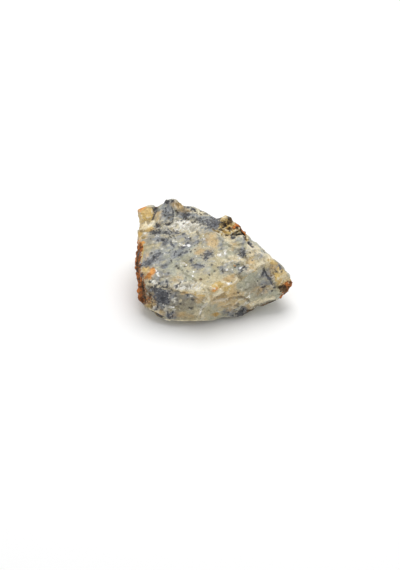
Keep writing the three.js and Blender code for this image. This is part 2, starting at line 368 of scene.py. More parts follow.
@dataclass(frozen=True)
class Sprinkle:
    """Small round spots strewn over an oval of the show side.

    Attributes:
        name: What they are.
        seen_at: The show camera's pixel where the oval's middle is seen.
        size: Half the oval's length and half its width, in millimetres, as seen from there.
        turn: How far the oval's length is turned up from the picture's right, in degrees.
        count: How many spots there are.
        radius: Their least and greatest radius.
    """

    name: str
    seen_at: Pixel
    size: Pair
    turn: float
    count: int
    radius: Pair


@dataclass(frozen=True)
class HiddenMark:
    """An oval patch on a side that the show camera doesn't see.

    Attributes:
        name: What it is.
        place: A point on or near its middle.
        size: Its half length and half width.
        strength: How whole it is.
    """

    name: str
    place: Place
    size: Pair
    strength: float = 1.0


MARKS: dict[Look, tuple[Mark | Line, ...]] = {}
MARKS[Look.SMOKE] = (
    Mark("grey left of front", (180, 301), (7.0, 3.0), -6),
    Mark("brown-grey corner", (151, 296), (2.3, 4.6), 0, 1.3),
    Mark("right of front", (255, 286), (4.6, 2.2), 25, 0.75),
    Mark("low right of front", (258, 295), (4.0, 1.2), 18, 0.6),
    Mark("under crease", (214, 304), (1.8, 1.4), 20, 0.6),
    Mark("low left of front", (178, 315), (6.0, 1.4), -3, 0.62),
    Mark("dark layer at lower right", (232, 312), (2.8, 1.4), 8),
    Mark("seam above lens", (221, 297), (1.4, 0.9), 10, 0.85),
    Line("arc of lens", ((226, 301), (235, 298), (243, 297), (248, 300), (250, 303)), 0.45),
    Line("low arc", ((222, 307), (231, 305.5), (240, 306), (246, 310)), 0.4, 0.9),
    Mark("shade of pointed block", (272, 271.5), (1.7, 2.8), -25, 1.3),
    Mark("below left ledge", (147, 239.5), (2.4, 1.3), 0, 1.15),
    Mark("right of amber block", (151.5, 209.5), (0.8, 1.0), 0, 0.85),
    # Painted shade: darkens the band under the main ridge to the shade of the front face below it.
    Line("front below main ridge", ((172, 293), (184, 295), (196, 298), (204, 299.5)), 0.5, 0.9),
    # Painted shade on the downward face under the lower right edge.
    Line("under side at lower right", ((244, 311), (253, 308), (262, 304.5), (270, 301)), 0.6, 1.2),
)
MARKS[Look.HAZE] = (
    Mark("peak", (169, 213), (1.7, 3.6)),
    Mark("core of peak", (169.5, 212), (1.0, 2.4), 0, 1.4),
    Line("left flank of peak", ((164.5, 203.5), (163, 210), (161, 218)), 0.9, 0.95),
    Mark("strip right of peak", (184, 215), (3.6, 1.9), -8, 0.95),
    Mark("strip's middle", (198, 220), (3.4, 1.9), -15),
    Mark("left of pocket", (208, 223), (1.7, 1.7), -25),
    Mark("wall left of pocket", (215, 223), (1.5, 2.2), 0, 1.3),
    Mark("notch left of pocket", (214.5, 218.5), (1.8, 1.1), 0, 1.3),
    Mark("foot of strip", (202.5, 224), (2.4, 1.5), -20, 1.1),
    Mark("veil under chips", (193, 235.5), (3.4, 1.8), -10, 0.74),
    Mark("veil right of chips", (199, 231), (2.4, 1.4), -20, 0.72),
    Mark("band under left ledge", (162, 231), (3.4, 1.7), -5),
    Mark("band under chips", (184, 236), (4.0, 1.4), -8, 0.72),
    Mark("cloud on upper left", (161, 241), (3.6, 1.3), -8, 0.9),
    Mark("veil over upper left", (172, 244), (6.0, 3.4), -12, 0.7),
    Mark("right of upper left cloud", (175, 243), (2.6, 1.2), -20, 0.65),
    Line("diagonal streak", ((197, 242), (188, 244), (183, 248), (178, 252), (173, 257)), 0.9, 0.95),
    Mark("veil around streak", (186, 249), (4.6, 2.6), 20, 0.72),
    Mark("streak on left", (152, 260), (4.0, 2.2), 22, 1.4),
    Mark("veil on left of top", (166, 262), (5.0, 3.4), 10, 0.58),
    Mark("lower left of top", (158, 273), (1.8, 2.4), 0, 0.8),
    Mark("cloud in middle", (199, 267), (2.3, 1.1), -8, 0.9),
    Mark("its left part", (192, 262), (1.0, 1.0), 0, 0.8),
    Mark("cloud of middle cluster", (208, 255), (2.2, 1.1), 8, 0.85),
    Mark("pale cloud, lower left", (164, 272), (2.2, 2.6), 0, 0.8),
    Mark("pale cloud above ridge", (194, 284), (2.4, 1.0), 10, 0.58),
    Mark("cloud of upper right cluster", (242, 254), (1.5, 1.3)),
    Mark("cloud of lower right cluster", (243, 267), (1.8, 1.3), -10, 0.8),
    Mark("lens on right of top", (226.5, 265), (1.0, 0.7), 0, 0.9),
    Mark("veil right of middle", (200, 271), (2.2, 1.3), 0, 0.62),
    Mark("veil on lower left", (172, 281), (2.4, 1.1), -5, 0.7),
    Mark("smooth step", (233, 272), (1.2, 1.9), -35, 0.5),
    Mark("veil by pocket", (221, 244), (1.3, 2.0), 0, 0.6),
    Mark("veil over middle", (204, 241), (2.8, 3.0), 0, 0.64),
    Mark("veil of right clusters", (247, 256), (1.6, 1.4), 0, 0.62),
    Line("mauve line", ((245, 240), (243, 244), (242, 250)), 0.7, 0.85),
    Mark("right flank", (259, 255), (1.7, 1.7), -30, 0.8),
    Mark("flank by crack", (250, 240), (1.4, 0.5), -45, 0.9),
    Mark("under block", (266, 282), (1.8, 1.8), -20, 0.66),
    Mark("beside block", (262.5, 273), (0.8, 1.6), -20, 0.9),
    Mark("dark mass at front left", (162, 295), (2.7, 3.3), 0, 1.4),
    Mark("blue right of dark mass", (173, 299), (1.6, 2.2), 0, 0.75),
    Mark("low grey streaks", (169, 315), (1.1, 1.4), 0, 0.85),
    Mark("mauve in pocket", (221, 221), (0.9, 0.7), 0, 0.8),
    Mark("grey lump in pocket", (234.5, 234), (0.6, 0.9), -20),
    Mark("lower right layer", (229, 310), (2.0, 0.9), 8, 0.7),
)
MARKS[Look.TAN] = (
    Mark("right of amber block", (151, 216), (0.9, 1.6), 0, 0.9),
    Mark("facet beside amber block", (158, 217.5), (1.3, 1.7), 0, 0.85),
    Mark("sliver right of peak", (178.5, 206), (2.0, 1.0), -35, 1.3),
    Mark("sliver's end", (188, 210), (1.6, 0.5), -10, 0.8),
    Mark("stain left of pocket", (212, 240.5), (1.7, 2.3), 0, 1.05),
    Mark("its upper edge", (206, 234), (1.6, 0.9), -20, 0.58),
    Mark("stain below", (199, 252), (1.6, 1.0), 10, 0.8),
    Mark("under left ledge", (146, 236), (1.4, 1.0), 0, 0.66),
    Mark("left end of ledge", (141.5, 226), (1.0, 2.3), 0, 1.1),
    Mark("outline under ledge", (139.5, 238), (0.7, 1.2)),
    Mark("left edge of top", (146, 250), (1.2, 2.6), 0, 0.7),
    Mark("around orange patch", (146, 272), (1.7, 1.6), 0, 0.95),
    Mark("yellow cream, lower middle", (178, 277), (2.6, 1.1), 10, 0.62),
    Mark("band down front", (228, 291), (2.0, 3.0), -25, 1.4),
    Mark("top of band", (229, 279), (1.6, 1.2), 20, 1.1),
    Mark("band across front", (224, 295), (4.4, 2.2), 15, 1.1),
    Mark("warm middle of front", (230, 301), (5.4, 3.0), 15, 0.6),
    Mark("low band across front", (228, 306), (3.4, 0.9), 15, 0.75),
    Mark("left of band", (217, 294), (2.0, 1.0), 15, 0.85),
    Mark("pink cream by yellow patch", (223, 286), (1.2, 1.6), 0, 0.85),
    Mark("layer in front", (224, 303), (2.4, 0.7), 20, 0.85),
    Mark("warm cast at right", (261, 291), (3.6, 1.5), 22, 0.62),
    Mark("inside of lens", (238, 301), (2.2, 0.7), 5, 0.7),
    Mark("right of top face", (251, 262), (1.5, 2.2), 10, 0.8),
    Mark("below right clusters", (247, 271), (1.4, 0.8), 30, 0.7),
    Mark("low spot at right", (248.5, 306), (1.1, 1.1), 0, 0.75),
    Mark("bevel beside crease", (200, 297), (2.0, 1.6), 0, 0.9),
    Mark("bevel under ridge", (186, 293), (3.6, 0.7), -6, 0.62),
    Mark("low block at left", (160, 314), (1.3, 1.0), -15),
    Mark("bottom layer", (184, 316), (3.0, 1.0), 0, 0.75),
    Mark("corner crumbs", (150, 302.5), (2.0, 2.2), 0, 1.1),
    Mark("pointed block", (274, 268), (2.2, 1.5), -35, 0.68),
    Mark("right wall of pocket", (242, 231), (0.9, 2.0), 25),
    Mark("below pocket", (233, 246), (1.8, 1.2), 0, 0.6),
    Mark("foot of pocket", (228, 237), (1.3, 0.5), -15, 0.9),
)
MARKS[Look.AMBER] = (
    Mark("amber block", (144.5, 215.5), (2.2, 2.8), 0, 1.5),
    Mark("foot of amber block", (145.5, 228.3), (2.9, 0.8), -4, 1.1),
    Mark("left edge under it", (140, 233), (0.8, 1.2), 0, 0.9),
    Line("left edge of top", ((143.5, 243), (142.5, 252), (141.5, 262)), 0.4, 0.75),
    Mark("lower part of orange patch", (145.5, 278), (1.5, 0.8), 25, 0.8),
    Mark("left of orange patch", (145, 269), (1.5, 0.9), 10, 0.8),
    Mark("top of pointed block", (272, 262), (2.0, 0.7), -30, 0.9),
    Mark("flank of pointed block", (280.5, 280), (2.7, 1.6), -45, 1.05),
    Mark("yellow patch on ridge", (216.5, 286.5), (2.3, 0.95), 35, 1.2),
    Mark("warm upper part of band", (227, 288.5), (1.7, 2.8), -25, 0.82),
    Line("right rim of pointed block", ((280, 270), (284, 274.5), (288, 280)), 0.9, 0.95),
    Line("right ridge", ((240, 281), (247, 275), (256, 269.5), (263, 266)), 0.4, 0.5),
    Line("under main ridge", ((180, 291), (190, 292.5), (200, 294.5), (205, 296)), 0.35, 0.8),
    Mark("left edge of amber block", (140.3, 220), (0.9, 3.4), 0, 1.2),
    Mark("gold seam", (216, 314.5), (1.6, 0.7), 8, 0.9),
    Mark("gold at pocket's top", (224.5, 217.5), (1.2, 0.8), 0, 1.3),
    Mark("gold on pocket's right", (233.5, 222.5), (1.2, 0.9), -40, 1.4),
    Line("gold band in pocket", ((223.5, 232), (227, 229), (231, 226), (234, 223)), 0.55, 1.3),
    Line("gold thread in pocket", ((220.5, 226), (223.5, 224.5), (226.5, 222)), 0.22, 1.2),
    Line("lower gold thread", ((231, 231), (235, 230), (239, 227)), 0.3, 1.1),
    Line("left gold thread", ((221, 220), (223, 223.5), (221.5, 228)), 0.2, 1.2),
    Line("middle gold thread", ((227.5, 220), (226.5, 224), (228.5, 227)), 0.2, 1.2),
    Line("gold thread at foot", ((226, 233), (230, 232), (233, 230)), 0.22, 1.1),
    Mark("gold at pocket's foot", (225.5, 232.5), (1.1, 0.5), 10),
)
MARKS[Look.IVORY] = (
    Mark("lip of left ledge", (148, 224), (2.3, 1.0), 25, 1.2),
    Mark("its corner", (152.5, 221.5), (0.9, 0.6), 20),
    Mark("bed of chips", (185, 226), (4.8, 2.0), -4, 1.2),
    Mark("pale green by crest", (200.5, 212.3), (1.9, 0.9), -15, 1.05),
    Mark("under pocket", (230, 241), (1.6, 0.6)),
    Mark("pale grain at pocket's top", (224.5, 217), (0.6, 0.35)),
    Mark("pale grain in pocket's right", (233, 222.5), (0.6, 0.4), -40, 1.1),
    Line("pale rim of pocket", ((223, 235.5), (227, 237.8), (231, 238.8)), 0.3, 1.1),
    Mark("facet below pocket", (235, 259), (2.1, 0.9), -5, 1.1),
    Mark("crumbly cream", (227, 261), (1.3, 0.8), 0, 0.85),
    Mark("facet on right", (258, 264), (1.3, 0.9), 0, 0.9),
    Mark("end facet of pointed block", (283, 278), (2.6, 1.6), -50, 0.8),
    Line("edge under crack", ((248, 244.5), (252, 248.5), (257, 252)), 0.35),
    Mark("flank above block", (268, 258), (2.0, 0.9), -38, 0.7),
    Mark("flank right of crack", (256, 248.5), (2.0, 1.0), -40, 0.75),
    Line("main ridge", ((147, 284), (157, 286), (168, 288.7), (182, 291)), 0.4, 1.15),
    Line("main ridge, right", ((182, 291), (197, 293.5), (206, 293)), 0.22, 0.7),
    Mark("ridge beside step", (240, 277.5), (1.0, 0.6), -30),
    Mark("band above ridge", (187, 286.8), (4.8, 1.1), -3, 1.3),
    Mark("lower end of orange patch", (146, 278.3), (1.5, 0.8), 25, 1.3),
    Mark("right of crease", (219, 293), (2.2, 1.1), 25, 0.95),
    Mark("below crack", (252, 252), (1.3, 0.9), -20, 0.9),
    Mark("corner above block", (265, 261), (1.5, 1.1), -30, 0.95),
    Line("crease", ((207.5, 291), (207, 296), (208.5, 300), (206, 305)), 0.5, 1.15),
    Line("right part of ridge", ((221, 281), (231, 284), (239, 279.5)), 0.35, 0.9),
    Mark("pale core of band", (228, 291), (1.0, 2.4), -25, 0.7),
    Line("rim right of pocket", ((236, 237.5), (239, 235.8), (243, 236.2)), 0.3),
    Line("bottom lip", ((168, 320.3), (180, 321.5), (194, 322), (208, 321)), 0.35, 0.95),
    Line("left lip", ((144, 309), (150, 310), (155, 312), (159, 312)), 0.3, 0.95),
    Line("pale layer at lower right", ((251, 304), (261, 301), (273, 297.5)), 0.6, 0.85),
    Mark("low cream, middle", (200, 314), (1.4, 1.6), 0, 0.7),
    Mark("second dot on front", (180.5, 300), (0.4, 0.4), 0, 0.9),
)
MARKS[Look.CHALK] = (
    Mark("bed of chips", (184, 225.5), (4.4, 1.6), -4, 0.78),
    Line("chips' upper rim", ((171, 226), (176, 222), (184, 220.5), (189, 222.5), (192, 229)), 0.5, 1.3),
    Line("chips' inner rim", ((181, 223), (186, 226), (189, 230)), 0.35, 0.95),
    Line("chips' lower rim", ((173, 227), (177, 230), (179, 232)), 0.35, 0.95),
    Mark("chips, right", (195, 224.5), (1.2, 0.9), -35, 1.2),
    Mark("chips, lower right", (193.5, 228.5), (1.5, 0.9), 10, 0.95),
    Mark("chips, middle", (176, 224.5), (1.4, 0.8), 20, 0.9),
    Mark("chip under band", (156, 236.5), (0.6, 0.4), -25),
    Mark("chip on left ledge", (144.5, 233), (0.5, 0.4), 0, 0.9),
    Mark("pale grey in band", (164.5, 230), (0.9, 0.6), 0, 0.8),
    Mark("pale spot on rind", (140.3, 248), (0.35, 0.6), 0, 0.9),
    Line("flecks in streak", ((180, 243), (184, 245.5), (190, 245)), 0.25),
    Mark("fleck above streak", (204, 239.5), (0.4, 0.35)),
    Mark("fleck left of streak", (173.5, 240.5), (0.7, 0.4), -10, 0.9),
    Mark("fleck on left", (162, 249), (0.7, 0.3), -35, 0.9),
    Mark("fleck in left streak", (157, 259), (0.9, 0.3), 40, 0.85),
    Line("fleck in middle", ((181, 262.3), (184, 263), (186.5, 265)), 0.3, 0.95),
    Line("fleck by middle cloud", ((206, 265), (204, 269)), 0.22, 0.8),
    Mark("left of twin flecks", (220, 254.5), (0.75, 0.7), 0, 1.3),
    Mark("right of twin flecks", (225, 253), (0.45, 1.0), 0, 1.4),
    Mark("flecks by lens", (230.5, 264), (0.8, 0.4), -20, 0.9),
    Mark("fleck by right cluster", (238.5, 258.5), (0.6, 0.4), 0, 0.9),
    Mark("chips on lower left edge", (154, 282), (1.3, 0.5), -18),
    Line("beside orange patch", ((156, 270), (157.5, 274), (158.5, 277)), 0.3, 0.85),
    Mark("white band above ridge", (187, 286.6), (4.6, 0.9), -4, 0.95),
    Mark("crumbly white by lens", (231, 262), (1.3, 0.6), 0, 0.8),
    Line("tail of big dot", ((183, 282), (180.5, 285)), 0.3, 0.95),
    Line("stroke above ridge, left", ((187.5, 285), (186.5, 289)), 0.3, 0.95),
    Line("stroke above ridge, right", ((200.5, 283), (199.5, 287), (197, 289)), 0.3, 0.95),
    Mark("spot under ridge", (194, 297), (0.9, 0.35), -18),
    Mark("round dot on front", (174.3, 300), (0.72, 0.72)),
    Line("streak at front left", ((162, 304.3), (168, 306.5), (174, 307.5)), 0.25, 0.95),
    Mark("dash under it", (174, 309.8), (0.7, 0.25), 5, 0.95),
    Mark("crumb at lower left", (154, 307.5), (0.7, 0.6), 0, 0.9),
    Line("white beside crease", ((206.5, 304), (203, 307), (201, 311), (200.5, 315)), 0.4, 1.15),
    Mark("glassy spot on band", (229, 283.7), (0.75, 0.4), 10),
    Line("streak on right of front", ((249, 291), (249.5, 295), (246, 298)), 0.22, 0.66),
    Mark("spot at lens's end", (246, 303), (0.6, 0.4), 0, 0.9),
    Mark("core of ledge lip", (151, 223), (1.2, 0.4), 25, 0.9),
)
MARKS[Look.ORANGE] = (
    Line("corner of amber block", ((139.8, 211), (142.5, 209.3), (145.5, 208.3)), 0.5, 0.9),
    Line("orange patch", ((152.8, 270.5), (151.2, 274), (148.5, 277)), 0.75),
    Mark("spot by lower right cluster", (235, 265.3), (0.5, 0.35), -30, 0.8),
    Mark("pink spot on rind", (140.5, 245), (0.6, 1.2), 0, 0.95),
    Mark("orange in rind", (138.5, 281), (0.5, 1.2), 0, 0.66),
    Mark("glow of orange patch's foot", (146, 277.5), (1.0, 0.5), 30, 0.7),
    Mark("orange high in rind", (137, 264), (0.4, 1.2), 0, 0.7),
    Mark("orange of tip", (290.5, 286), (0.4, 1.0), 20, 0.7),
    Mark("upper pink spot", (143.5, 242.5), (0.5, 0.5), 0, 0.8),
    Mark("core of yellow patch", (215.5, 289), (1.2, 0.5), 25, 0.75),
)
MARKS[Look.OCHRE] = (
    Mark("pocket", (228, 226.5), (3.0, 3.0), -20),
    Mark("pocket's right", (238, 229), (1.4, 2.4), 40),
    Line("pocket's lower left rim", ((213, 229), (217, 231.5), (221, 233.5), (224, 237)), 0.35, 0.95),
    Line("pocket's tail", ((242.5, 231), (245.5, 236), (247.5, 240)), 0.45),
    Mark("brown under ledge", (144, 238), (0.8, 0.4), 20, 0.9),
    Mark("brown crumbs at corner", (151, 306), (1.4, 0.8), 20, 0.75),
    Mark("brown spots on right", (246.5, 262.5), (0.5, 0.5), 0, 0.85),
)
MARKS[Look.RUST] = (
    Mark("rust bump by peak", (157, 206.5), (0.7, 0.35), 0, 0.9),
    Line(
        "rind",
        ((139.5, 248), (138, 253), (136.5, 262), (137, 274), (138.5, 288), (141, 300)), 0.95, 1.3,
    ),
    Line("rind, inner", ((140.5, 276), (142, 286), (144, 298), (144, 303)), 0.8, 0.9),
    Mark("rind crumbs", (148.5, 299), (0.9, 1.4), 0, 0.75),
    Line("rust tip", ((291, 283), (292, 286), (289, 291), (282, 297)), 0.7, 1.1),
    Mark("rust flank of tip", (288.5, 289.5), (1.5, 2.1), 35, 1.4),
    Mark("stain in pocket", (238, 225), (1.4, 0.8), 50, 1.2),
    Mark("second stain in pocket", (234.5, 228), (0.8, 0.4), -10, 0.85),
    Line("stain right of pocket", ((241, 228.5), (244.5, 234)), 0.45),
)
MARKS[Look.UMBER] = (
    Mark("gap at pocket's top", (230.8, 220), (0.5, 1.0), 10, 1.1),
    Mark("gap at pocket's left", (222.6, 222.5), (0.4, 0.3), 0, 0.9),
    Mark("middle of left gaps", (225, 225), (0.6, 0.7), 0, 1.1),
    Mark("gap beside gold", (228, 222.5), (0.5, 0.6)),
    Mark("gap under gold band", (230.5, 230), (0.7, 0.35), 15),
    Mark("brown-grey corner", (150, 296), (1.4, 3.6), 0, 0.6),
    Mark("foot of wall", (219.5, 229.5), (1.8, 0.9), 30, 0.66),
    Mark("shade of block's left facet", (272.5, 274), (1.3, 2.8), -25, 0.57),
    Mark("brown crumbs of tip", (289, 288), (1.1, 1.8), 30, 0.62),
    Mark("foot of left gaps", (223.5, 227.3), (0.4, 0.5), 0, 0.95),
    Mark("gap in pocket's middle", (229.5, 228.5), (0.6, 0.5)),
    Mark("gap at pocket's right", (237, 228), (0.4, 0.7), 30, 0.9),
    Line("gap at pocket's foot", ((226, 235), (231, 236), (233, 233.5)), 0.3),
    Line("shade right of pocket", ((240.5, 230), (243.5, 235), (246, 239.5)), 0.3, 0.95),
    Mark("dark of tip", (283.3, 288.3), (1.25, 1.0), 8, 1.2),
    # Painted shade on the downward face under the overhanging tip.
    Mark("under side of tip", (283.5, 293.5), (1.1, 0.5), 25, 0.8),
    Line("shade in rind", ((139.5, 250), (138, 258), (137.5, 270), (139.5, 280)), 0.4, 0.7),
    Line("shade along rind's inner edge", ((142, 283), (143.5, 290), (145.5, 299)), 0.4, 0.85),
    Mark("dark spot low in rind", (139.5, 293), (0.4, 0.7), 0, 0.75),
    # Painted shadow: a dark line under the lower right edge, where its under side is in shade.
    Line(
        "black under lower right edge",
        ((246, 311.5), (252, 309.3), (259, 306.3), (267, 303.3), (275, 300.3)), 0.28, 0.9,
    ),
    Line("brown low in rind", ((142.5, 287), (144, 296), (146, 303)), 0.35, 0.66),
    Mark("brown above ledge's foot", (151, 231.5), (0.5, 0.9), 0, 0.8),
    Mark("brown spots on lower edge", (201, 280), (0.6, 0.5), 0, 0.8),
)
MARKS[Look.MOSS] = (
    Mark("beside amber block", (155.5, 210.3), (0.8, 0.65)),
    Line("line by amber block", ((155.3, 213.5), (153.8, 217), (152.5, 219)), 0.3),
    Mark("top of peak", (167, 201.5), (1.3, 0.6), -10),
    Mark("top right of peak", (172.5, 201.5), (0.45, 0.5), 0, 0.9),
    Line("line down peak", ((166, 208), (165.8, 216)), 0.22, 0.85),
    Line("second line down peak", ((171.5, 207), (173.5, 213), (172.5, 221)), 0.22, 0.8),
    Mark("foot of peak", (167.5, 223.7), (1.1, 0.5), 10),
    Line("line right of peak", ((178, 212.5), (176, 217)), 0.2, 0.8),
    Mark("crest cluster", (184.5, 217), (0.75, 1.0)),
    Mark("crest cluster's right", (188, 214.8), (0.8, 0.5), 10),
    Mark("crest cluster's foot", (182.5, 219.3), (1.0, 0.35), 0, 0.9),
    Mark("crest edge, first", (187.5, 207.5), (0.85, 0.32)),
    Mark("crest edge, second", (194, 210), (0.9, 0.45), -25),
    Mark("crest edge, third", (201.5, 210.3), (0.6, 0.3), -15),
    Mark("crest edge, last", (206.3, 212.5), (0.6, 0.45), -40),
    Mark("left of pocket, upper", (206.5, 221.5), (0.8, 0.8)),
    Mark("left of pocket, lower", (208.5, 225), (0.9, 0.6), -20),
    Mark("wall left of pocket", (216, 223), (1.2, 1.3), 10, 1.15),
    Mark("top of wall", (213.5, 218), (0.8, 0.5), 0, 0.85),
    Mark("left of pocket's gold", (219.5, 218), (0.7, 0.5), 0, 0.85),
    Mark("right of pocket's gold", (228.5, 217.5), (0.5, 0.6), 0, 0.85),
    Mark("right edge of wall", (218, 225), (0.3, 1.3), 0, 0.9),
    Mark("above band", (158, 226), (0.8, 0.8)),
    Mark("left of band", (154, 232.5), (1.1, 0.8), -10),
    Mark("middle of band", (158.5, 232.8), (0.9, 0.45)),
    Mark("right of band", (167, 232.8), (1.3, 0.65), 10),
    Mark("end of band", (176.5, 232.3), (0.8, 0.3)),
    Mark("after band", (183.5, 233.5), (0.9, 0.4), 15),
    Mark("cloud spot, left", (157.8, 241), (0.6, 0.35)),
    Mark("cloud spot, right", (163.3, 240.7), (0.7, 0.4)),
    Line("hooked mark", ((171, 241.5), (171.3, 244), (174, 246)), 0.36),
    Mark("under white chips", (187.5, 238), (0.9, 0.4), -20, 0.75),
    Mark("beside glint", (187.3, 243.7), (0.8, 0.35), 20),
    Mark("under glint", (183.5, 247), (0.9, 0.45), 10, 0.95),
    Line("lower streak", ((187, 252), (183, 253), (178.5, 256)), 0.4, 0.95),
    Line("dash in streak", ((175.5, 251), (174, 255)), 0.26, 0.9),
    Mark("middle cluster", (208, 254), (1.6, 0.6), 8),
    Mark("middle cluster's foot", (206, 258.3), (0.9, 0.6), 0, 0.95),
    Line("core of left streak", ((146, 264), (151, 261), (156, 257.5), (160, 253.5)), 0.65, 1.05),
    Line("foot of left streak", ((141, 266), (146, 265), (152, 262.5)), 0.3, 0.9),
    Line("thread in middle cloud", ((193.5, 265.3), (199, 265.6), (204, 267)), 0.25, 0.95),
    Mark("left of thread", (191.5, 261), (0.45, 0.6), 0, 0.85),
    Mark("upper right cluster", (243, 253.5), (1.0, 0.85), -30),
    Mark("its left spot", (238.8, 254.5), (0.45, 0.45)),
    Mark("lower right cluster", (243.8, 267), (0.9, 0.35)),
    Mark("lower right cluster's foot", (241.5, 270), (0.7, 0.45), -20, 0.95),
    Mark("lower right cluster's end", (246.3, 270), (0.5, 0.3), -30, 0.9),
    Line("left edge of smooth step", ((222.3, 268.5), (222.8, 272)), 0.25, 0.85),
    Line("dash on lower edge", ((167, 281), (167.3, 285), (166, 288)), 0.3),
    Mark("big dot on edge", (176.2, 286.9), (0.55, 0.45)),
    Line("big dot's tail", ((177, 285.5), (181, 282.3)), 0.22, 0.95),
    Mark("top of dark mass", (155.2, 288.3), (0.8, 1.3), 0, 1.05),
    Mark("core of dark mass", (162.5, 295.5), (2.2, 2.7), 0, 1.05),
    Mark("left of dark mass", (159, 292), (0.9, 1.1), 0, 0.85),
    Mark("right of dark mass", (168.5, 293.5), (0.5, 0.6), 0, 0.95),
    Line("low line in dark mass", ((158.5, 302), (165, 303)), 0.3),
    Line("middle line in dark mass", ((160, 298.7), (166, 299.3)), 0.3, 0.95),
    Line("left foot of dark mass", ((158.5, 303), (158, 306), (156.5, 309.5)), 0.38, 0.95),
    Mark("dark under ridge", (187.8, 295.2), (0.5, 0.3)),
    # Painted shadow: a dark line under the undercut left lip.
    Line("under left lip", ((147.5, 310.3), (152, 312.8), (157, 314.8), (163, 318)), 0.3),
    Line("low streak, left", ((167.5, 311.5), (169.5, 317)), 0.22, 0.8),
    Line("low streak, right", ((173, 312), (174.5, 318)), 0.2, 0.7),
    Mark("low grey streaks", (171.5, 316), (0.35, 0.9), -20, 0.8),
    Mark("beside block", (262.7, 273), (0.5, 1.2), -22),
    Line("under block", ((264.5, 270), (267, 276), (270.5, 280.5), (272, 284)), 0.35, 0.92),
    # Painted shadow in the dark pit at the lower right, with the line above it.
    Mark("black at lower right", (239.7, 313.5), (1.5, 0.9), 15, 1.1),
    Mark("left of it", (232, 315), (0.8, 0.45), 10, 0.95),
    Line("above it", ((240, 312), (243, 309)), 0.35, 0.9),
    Mark("spot on right of front", (263.8, 287.5), (0.55, 0.75)),
    Mark("dark of lower right cluster", (238.5, 264.5), (0.5, 0.5), 0, 0.8),
    Mark("dark below it", (241, 271.5), (0.3, 0.4), 0, 0.8),
    Mark("black of strip's foot", (203.5, 224), (0.7, 0.4), -20, 0.85),
    Mark("black in strip", (198.5, 221.5), (0.6, 0.4), -20, 0.8),
    # Painted shadow: the dark crack and hollow along the pocket's lower rim.
    Line("black line of pocket", ((232, 238), (235, 236.6), (238, 234.8), (242, 234.4)), 0.34, 1.1),
    Mark("black hollow of pocket", (233.8, 237.4), (0.7, 0.35), 10),
    Line("line right of pocket", ((243.5, 236), (245, 239.5)), 0.22, 0.9),
    Line("crack", ((248.7, 243), (252.5, 247.2)), 0.28),
    Mark("black spot at outline", (280.3, 267.6), (0.85, 0.45), -45, 1.1),
    Mark("upper black of rind", (139, 254), (0.35, 0.9), 0, 0.9),
    Mark("lower black of rind", (135.8, 271), (0.3, 0.4), 0, 0.8),
    Mark("dark spots in orange", (141.5, 275), (0.6, 0.5), 40, 0.95),
)
MARKS[Look.SPECK] = (
    Mark("under clouds", (163.8, 244.5), (0.48, 0.42)),
    Mark("left part of top", (151.5, 253.6), (0.52, 0.4)),
    Mark("beside it", (154.6, 252.4), (0.3, 0.25)),
    Mark("middle of top", (171.2, 260.8), (0.3, 0.5)),
    Mark("twin specks, left", (176.3, 265.9), (0.36, 0.33)),
    Mark("twin specks, right", (178.3, 268), (0.4, 0.36)),
    Mark("right of twins", (184.5, 266.5), (0.45, 0.28)),
    Mark("left of twins", (166, 265), (0.4, 0.22)),
    Mark("below twins", (187, 271.7), (0.45, 0.3), -20),
    Mark("middle left", (168.4, 273), (0.3, 0.4)),
    Mark("middle low", (186, 278), (0.33, 0.4), 20, 0.8),
    Mark("above ridge", (201, 279.3), (0.42, 0.36), 0, 0.9),
    Mark("right of it", (209.5, 275), (0.3, 0.38)),
    Mark("further right", (214.7, 271), (0.42, 0.25), 20, 0.85),
    Mark("below middle cluster", (212, 265.2), (0.42, 0.3)),
    Mark("on left edge", (149.6, 282), (0.42, 0.45)),
    Mark("right of left edge", (159, 283), (0.3, 0.55), -25),
    Mark("on facet by block", (164.8, 215.5), (0.32, 0.32)),
    Mark("lower on facet", (160.5, 219.4), (0.3, 0.3)),
    Mark("on strip, left", (195, 221.5), (0.45, 0.35)),
    Mark("on strip, right", (200, 218.3), (0.35, 0.28)),
    Mark("in white chips", (192.2, 223), (0.4, 0.45)),
    Mark("on white chips", (183.7, 223.3), (0.35, 0.25)),
    Mark("by pocket", (211.5, 217.7), (0.38, 0.5)),
    Mark("under chips", (190.7, 238), (0.33, 0.4)),
    Mark("right of streak", (191, 252.3), (0.4, 0.3)),
    Mark("upper right of streak", (195.3, 250), (0.35, 0.25), 0, 0.9),
    Mark("front, beside crease", (192.9, 299), (0.6, 0.45), -40),
    Mark("front, left middle", (180.2, 304.3), (0.3, 0.55), 20),
    Mark("front, low", (191, 308.6), (0.75, 0.5), 10),
    Mark("front, right of crease", (238, 292.5), (0.3, 0.32)),
    Mark("front, in lens", (238, 303.3), (0.55, 0.32), 0, 0.95),
    Mark("front, right", (274.2, 287.3), (0.52, 0.42)),
    Mark("front, right and low", (271.6, 290.6), (0.42, 0.38)),
    Mark("front, under whitish streak", (252.3, 291.3), (0.35, 0.25), 0, 0.85),
    Mark("flank, first", (263, 250.5), (0.45, 0.32), -30),
    Mark("flank, second", (264.6, 252.8), (0.33, 0.33)),
    Mark("pointed block, left", (276.4, 272), (0.4, 0.4), 0, 0.9),
    Mark("pointed block, right", (281.2, 271.6), (0.4, 0.36)),
    Mark("in orange spot", (235.5, 266.6), (0.32, 0.28)),
    Mark("on band", (231.5, 282.3), (0.3, 0.25), 0, 0.85),
    Mark("on rind", (144.7, 304), (0.45, 0.42)),
    Mark("rind crumb", (148.5, 299.5), (0.42, 0.4), 0, 0.85),
    Mark("under peak", (170.6, 249.6), (0.3, 0.25), 0, 0.85),
)
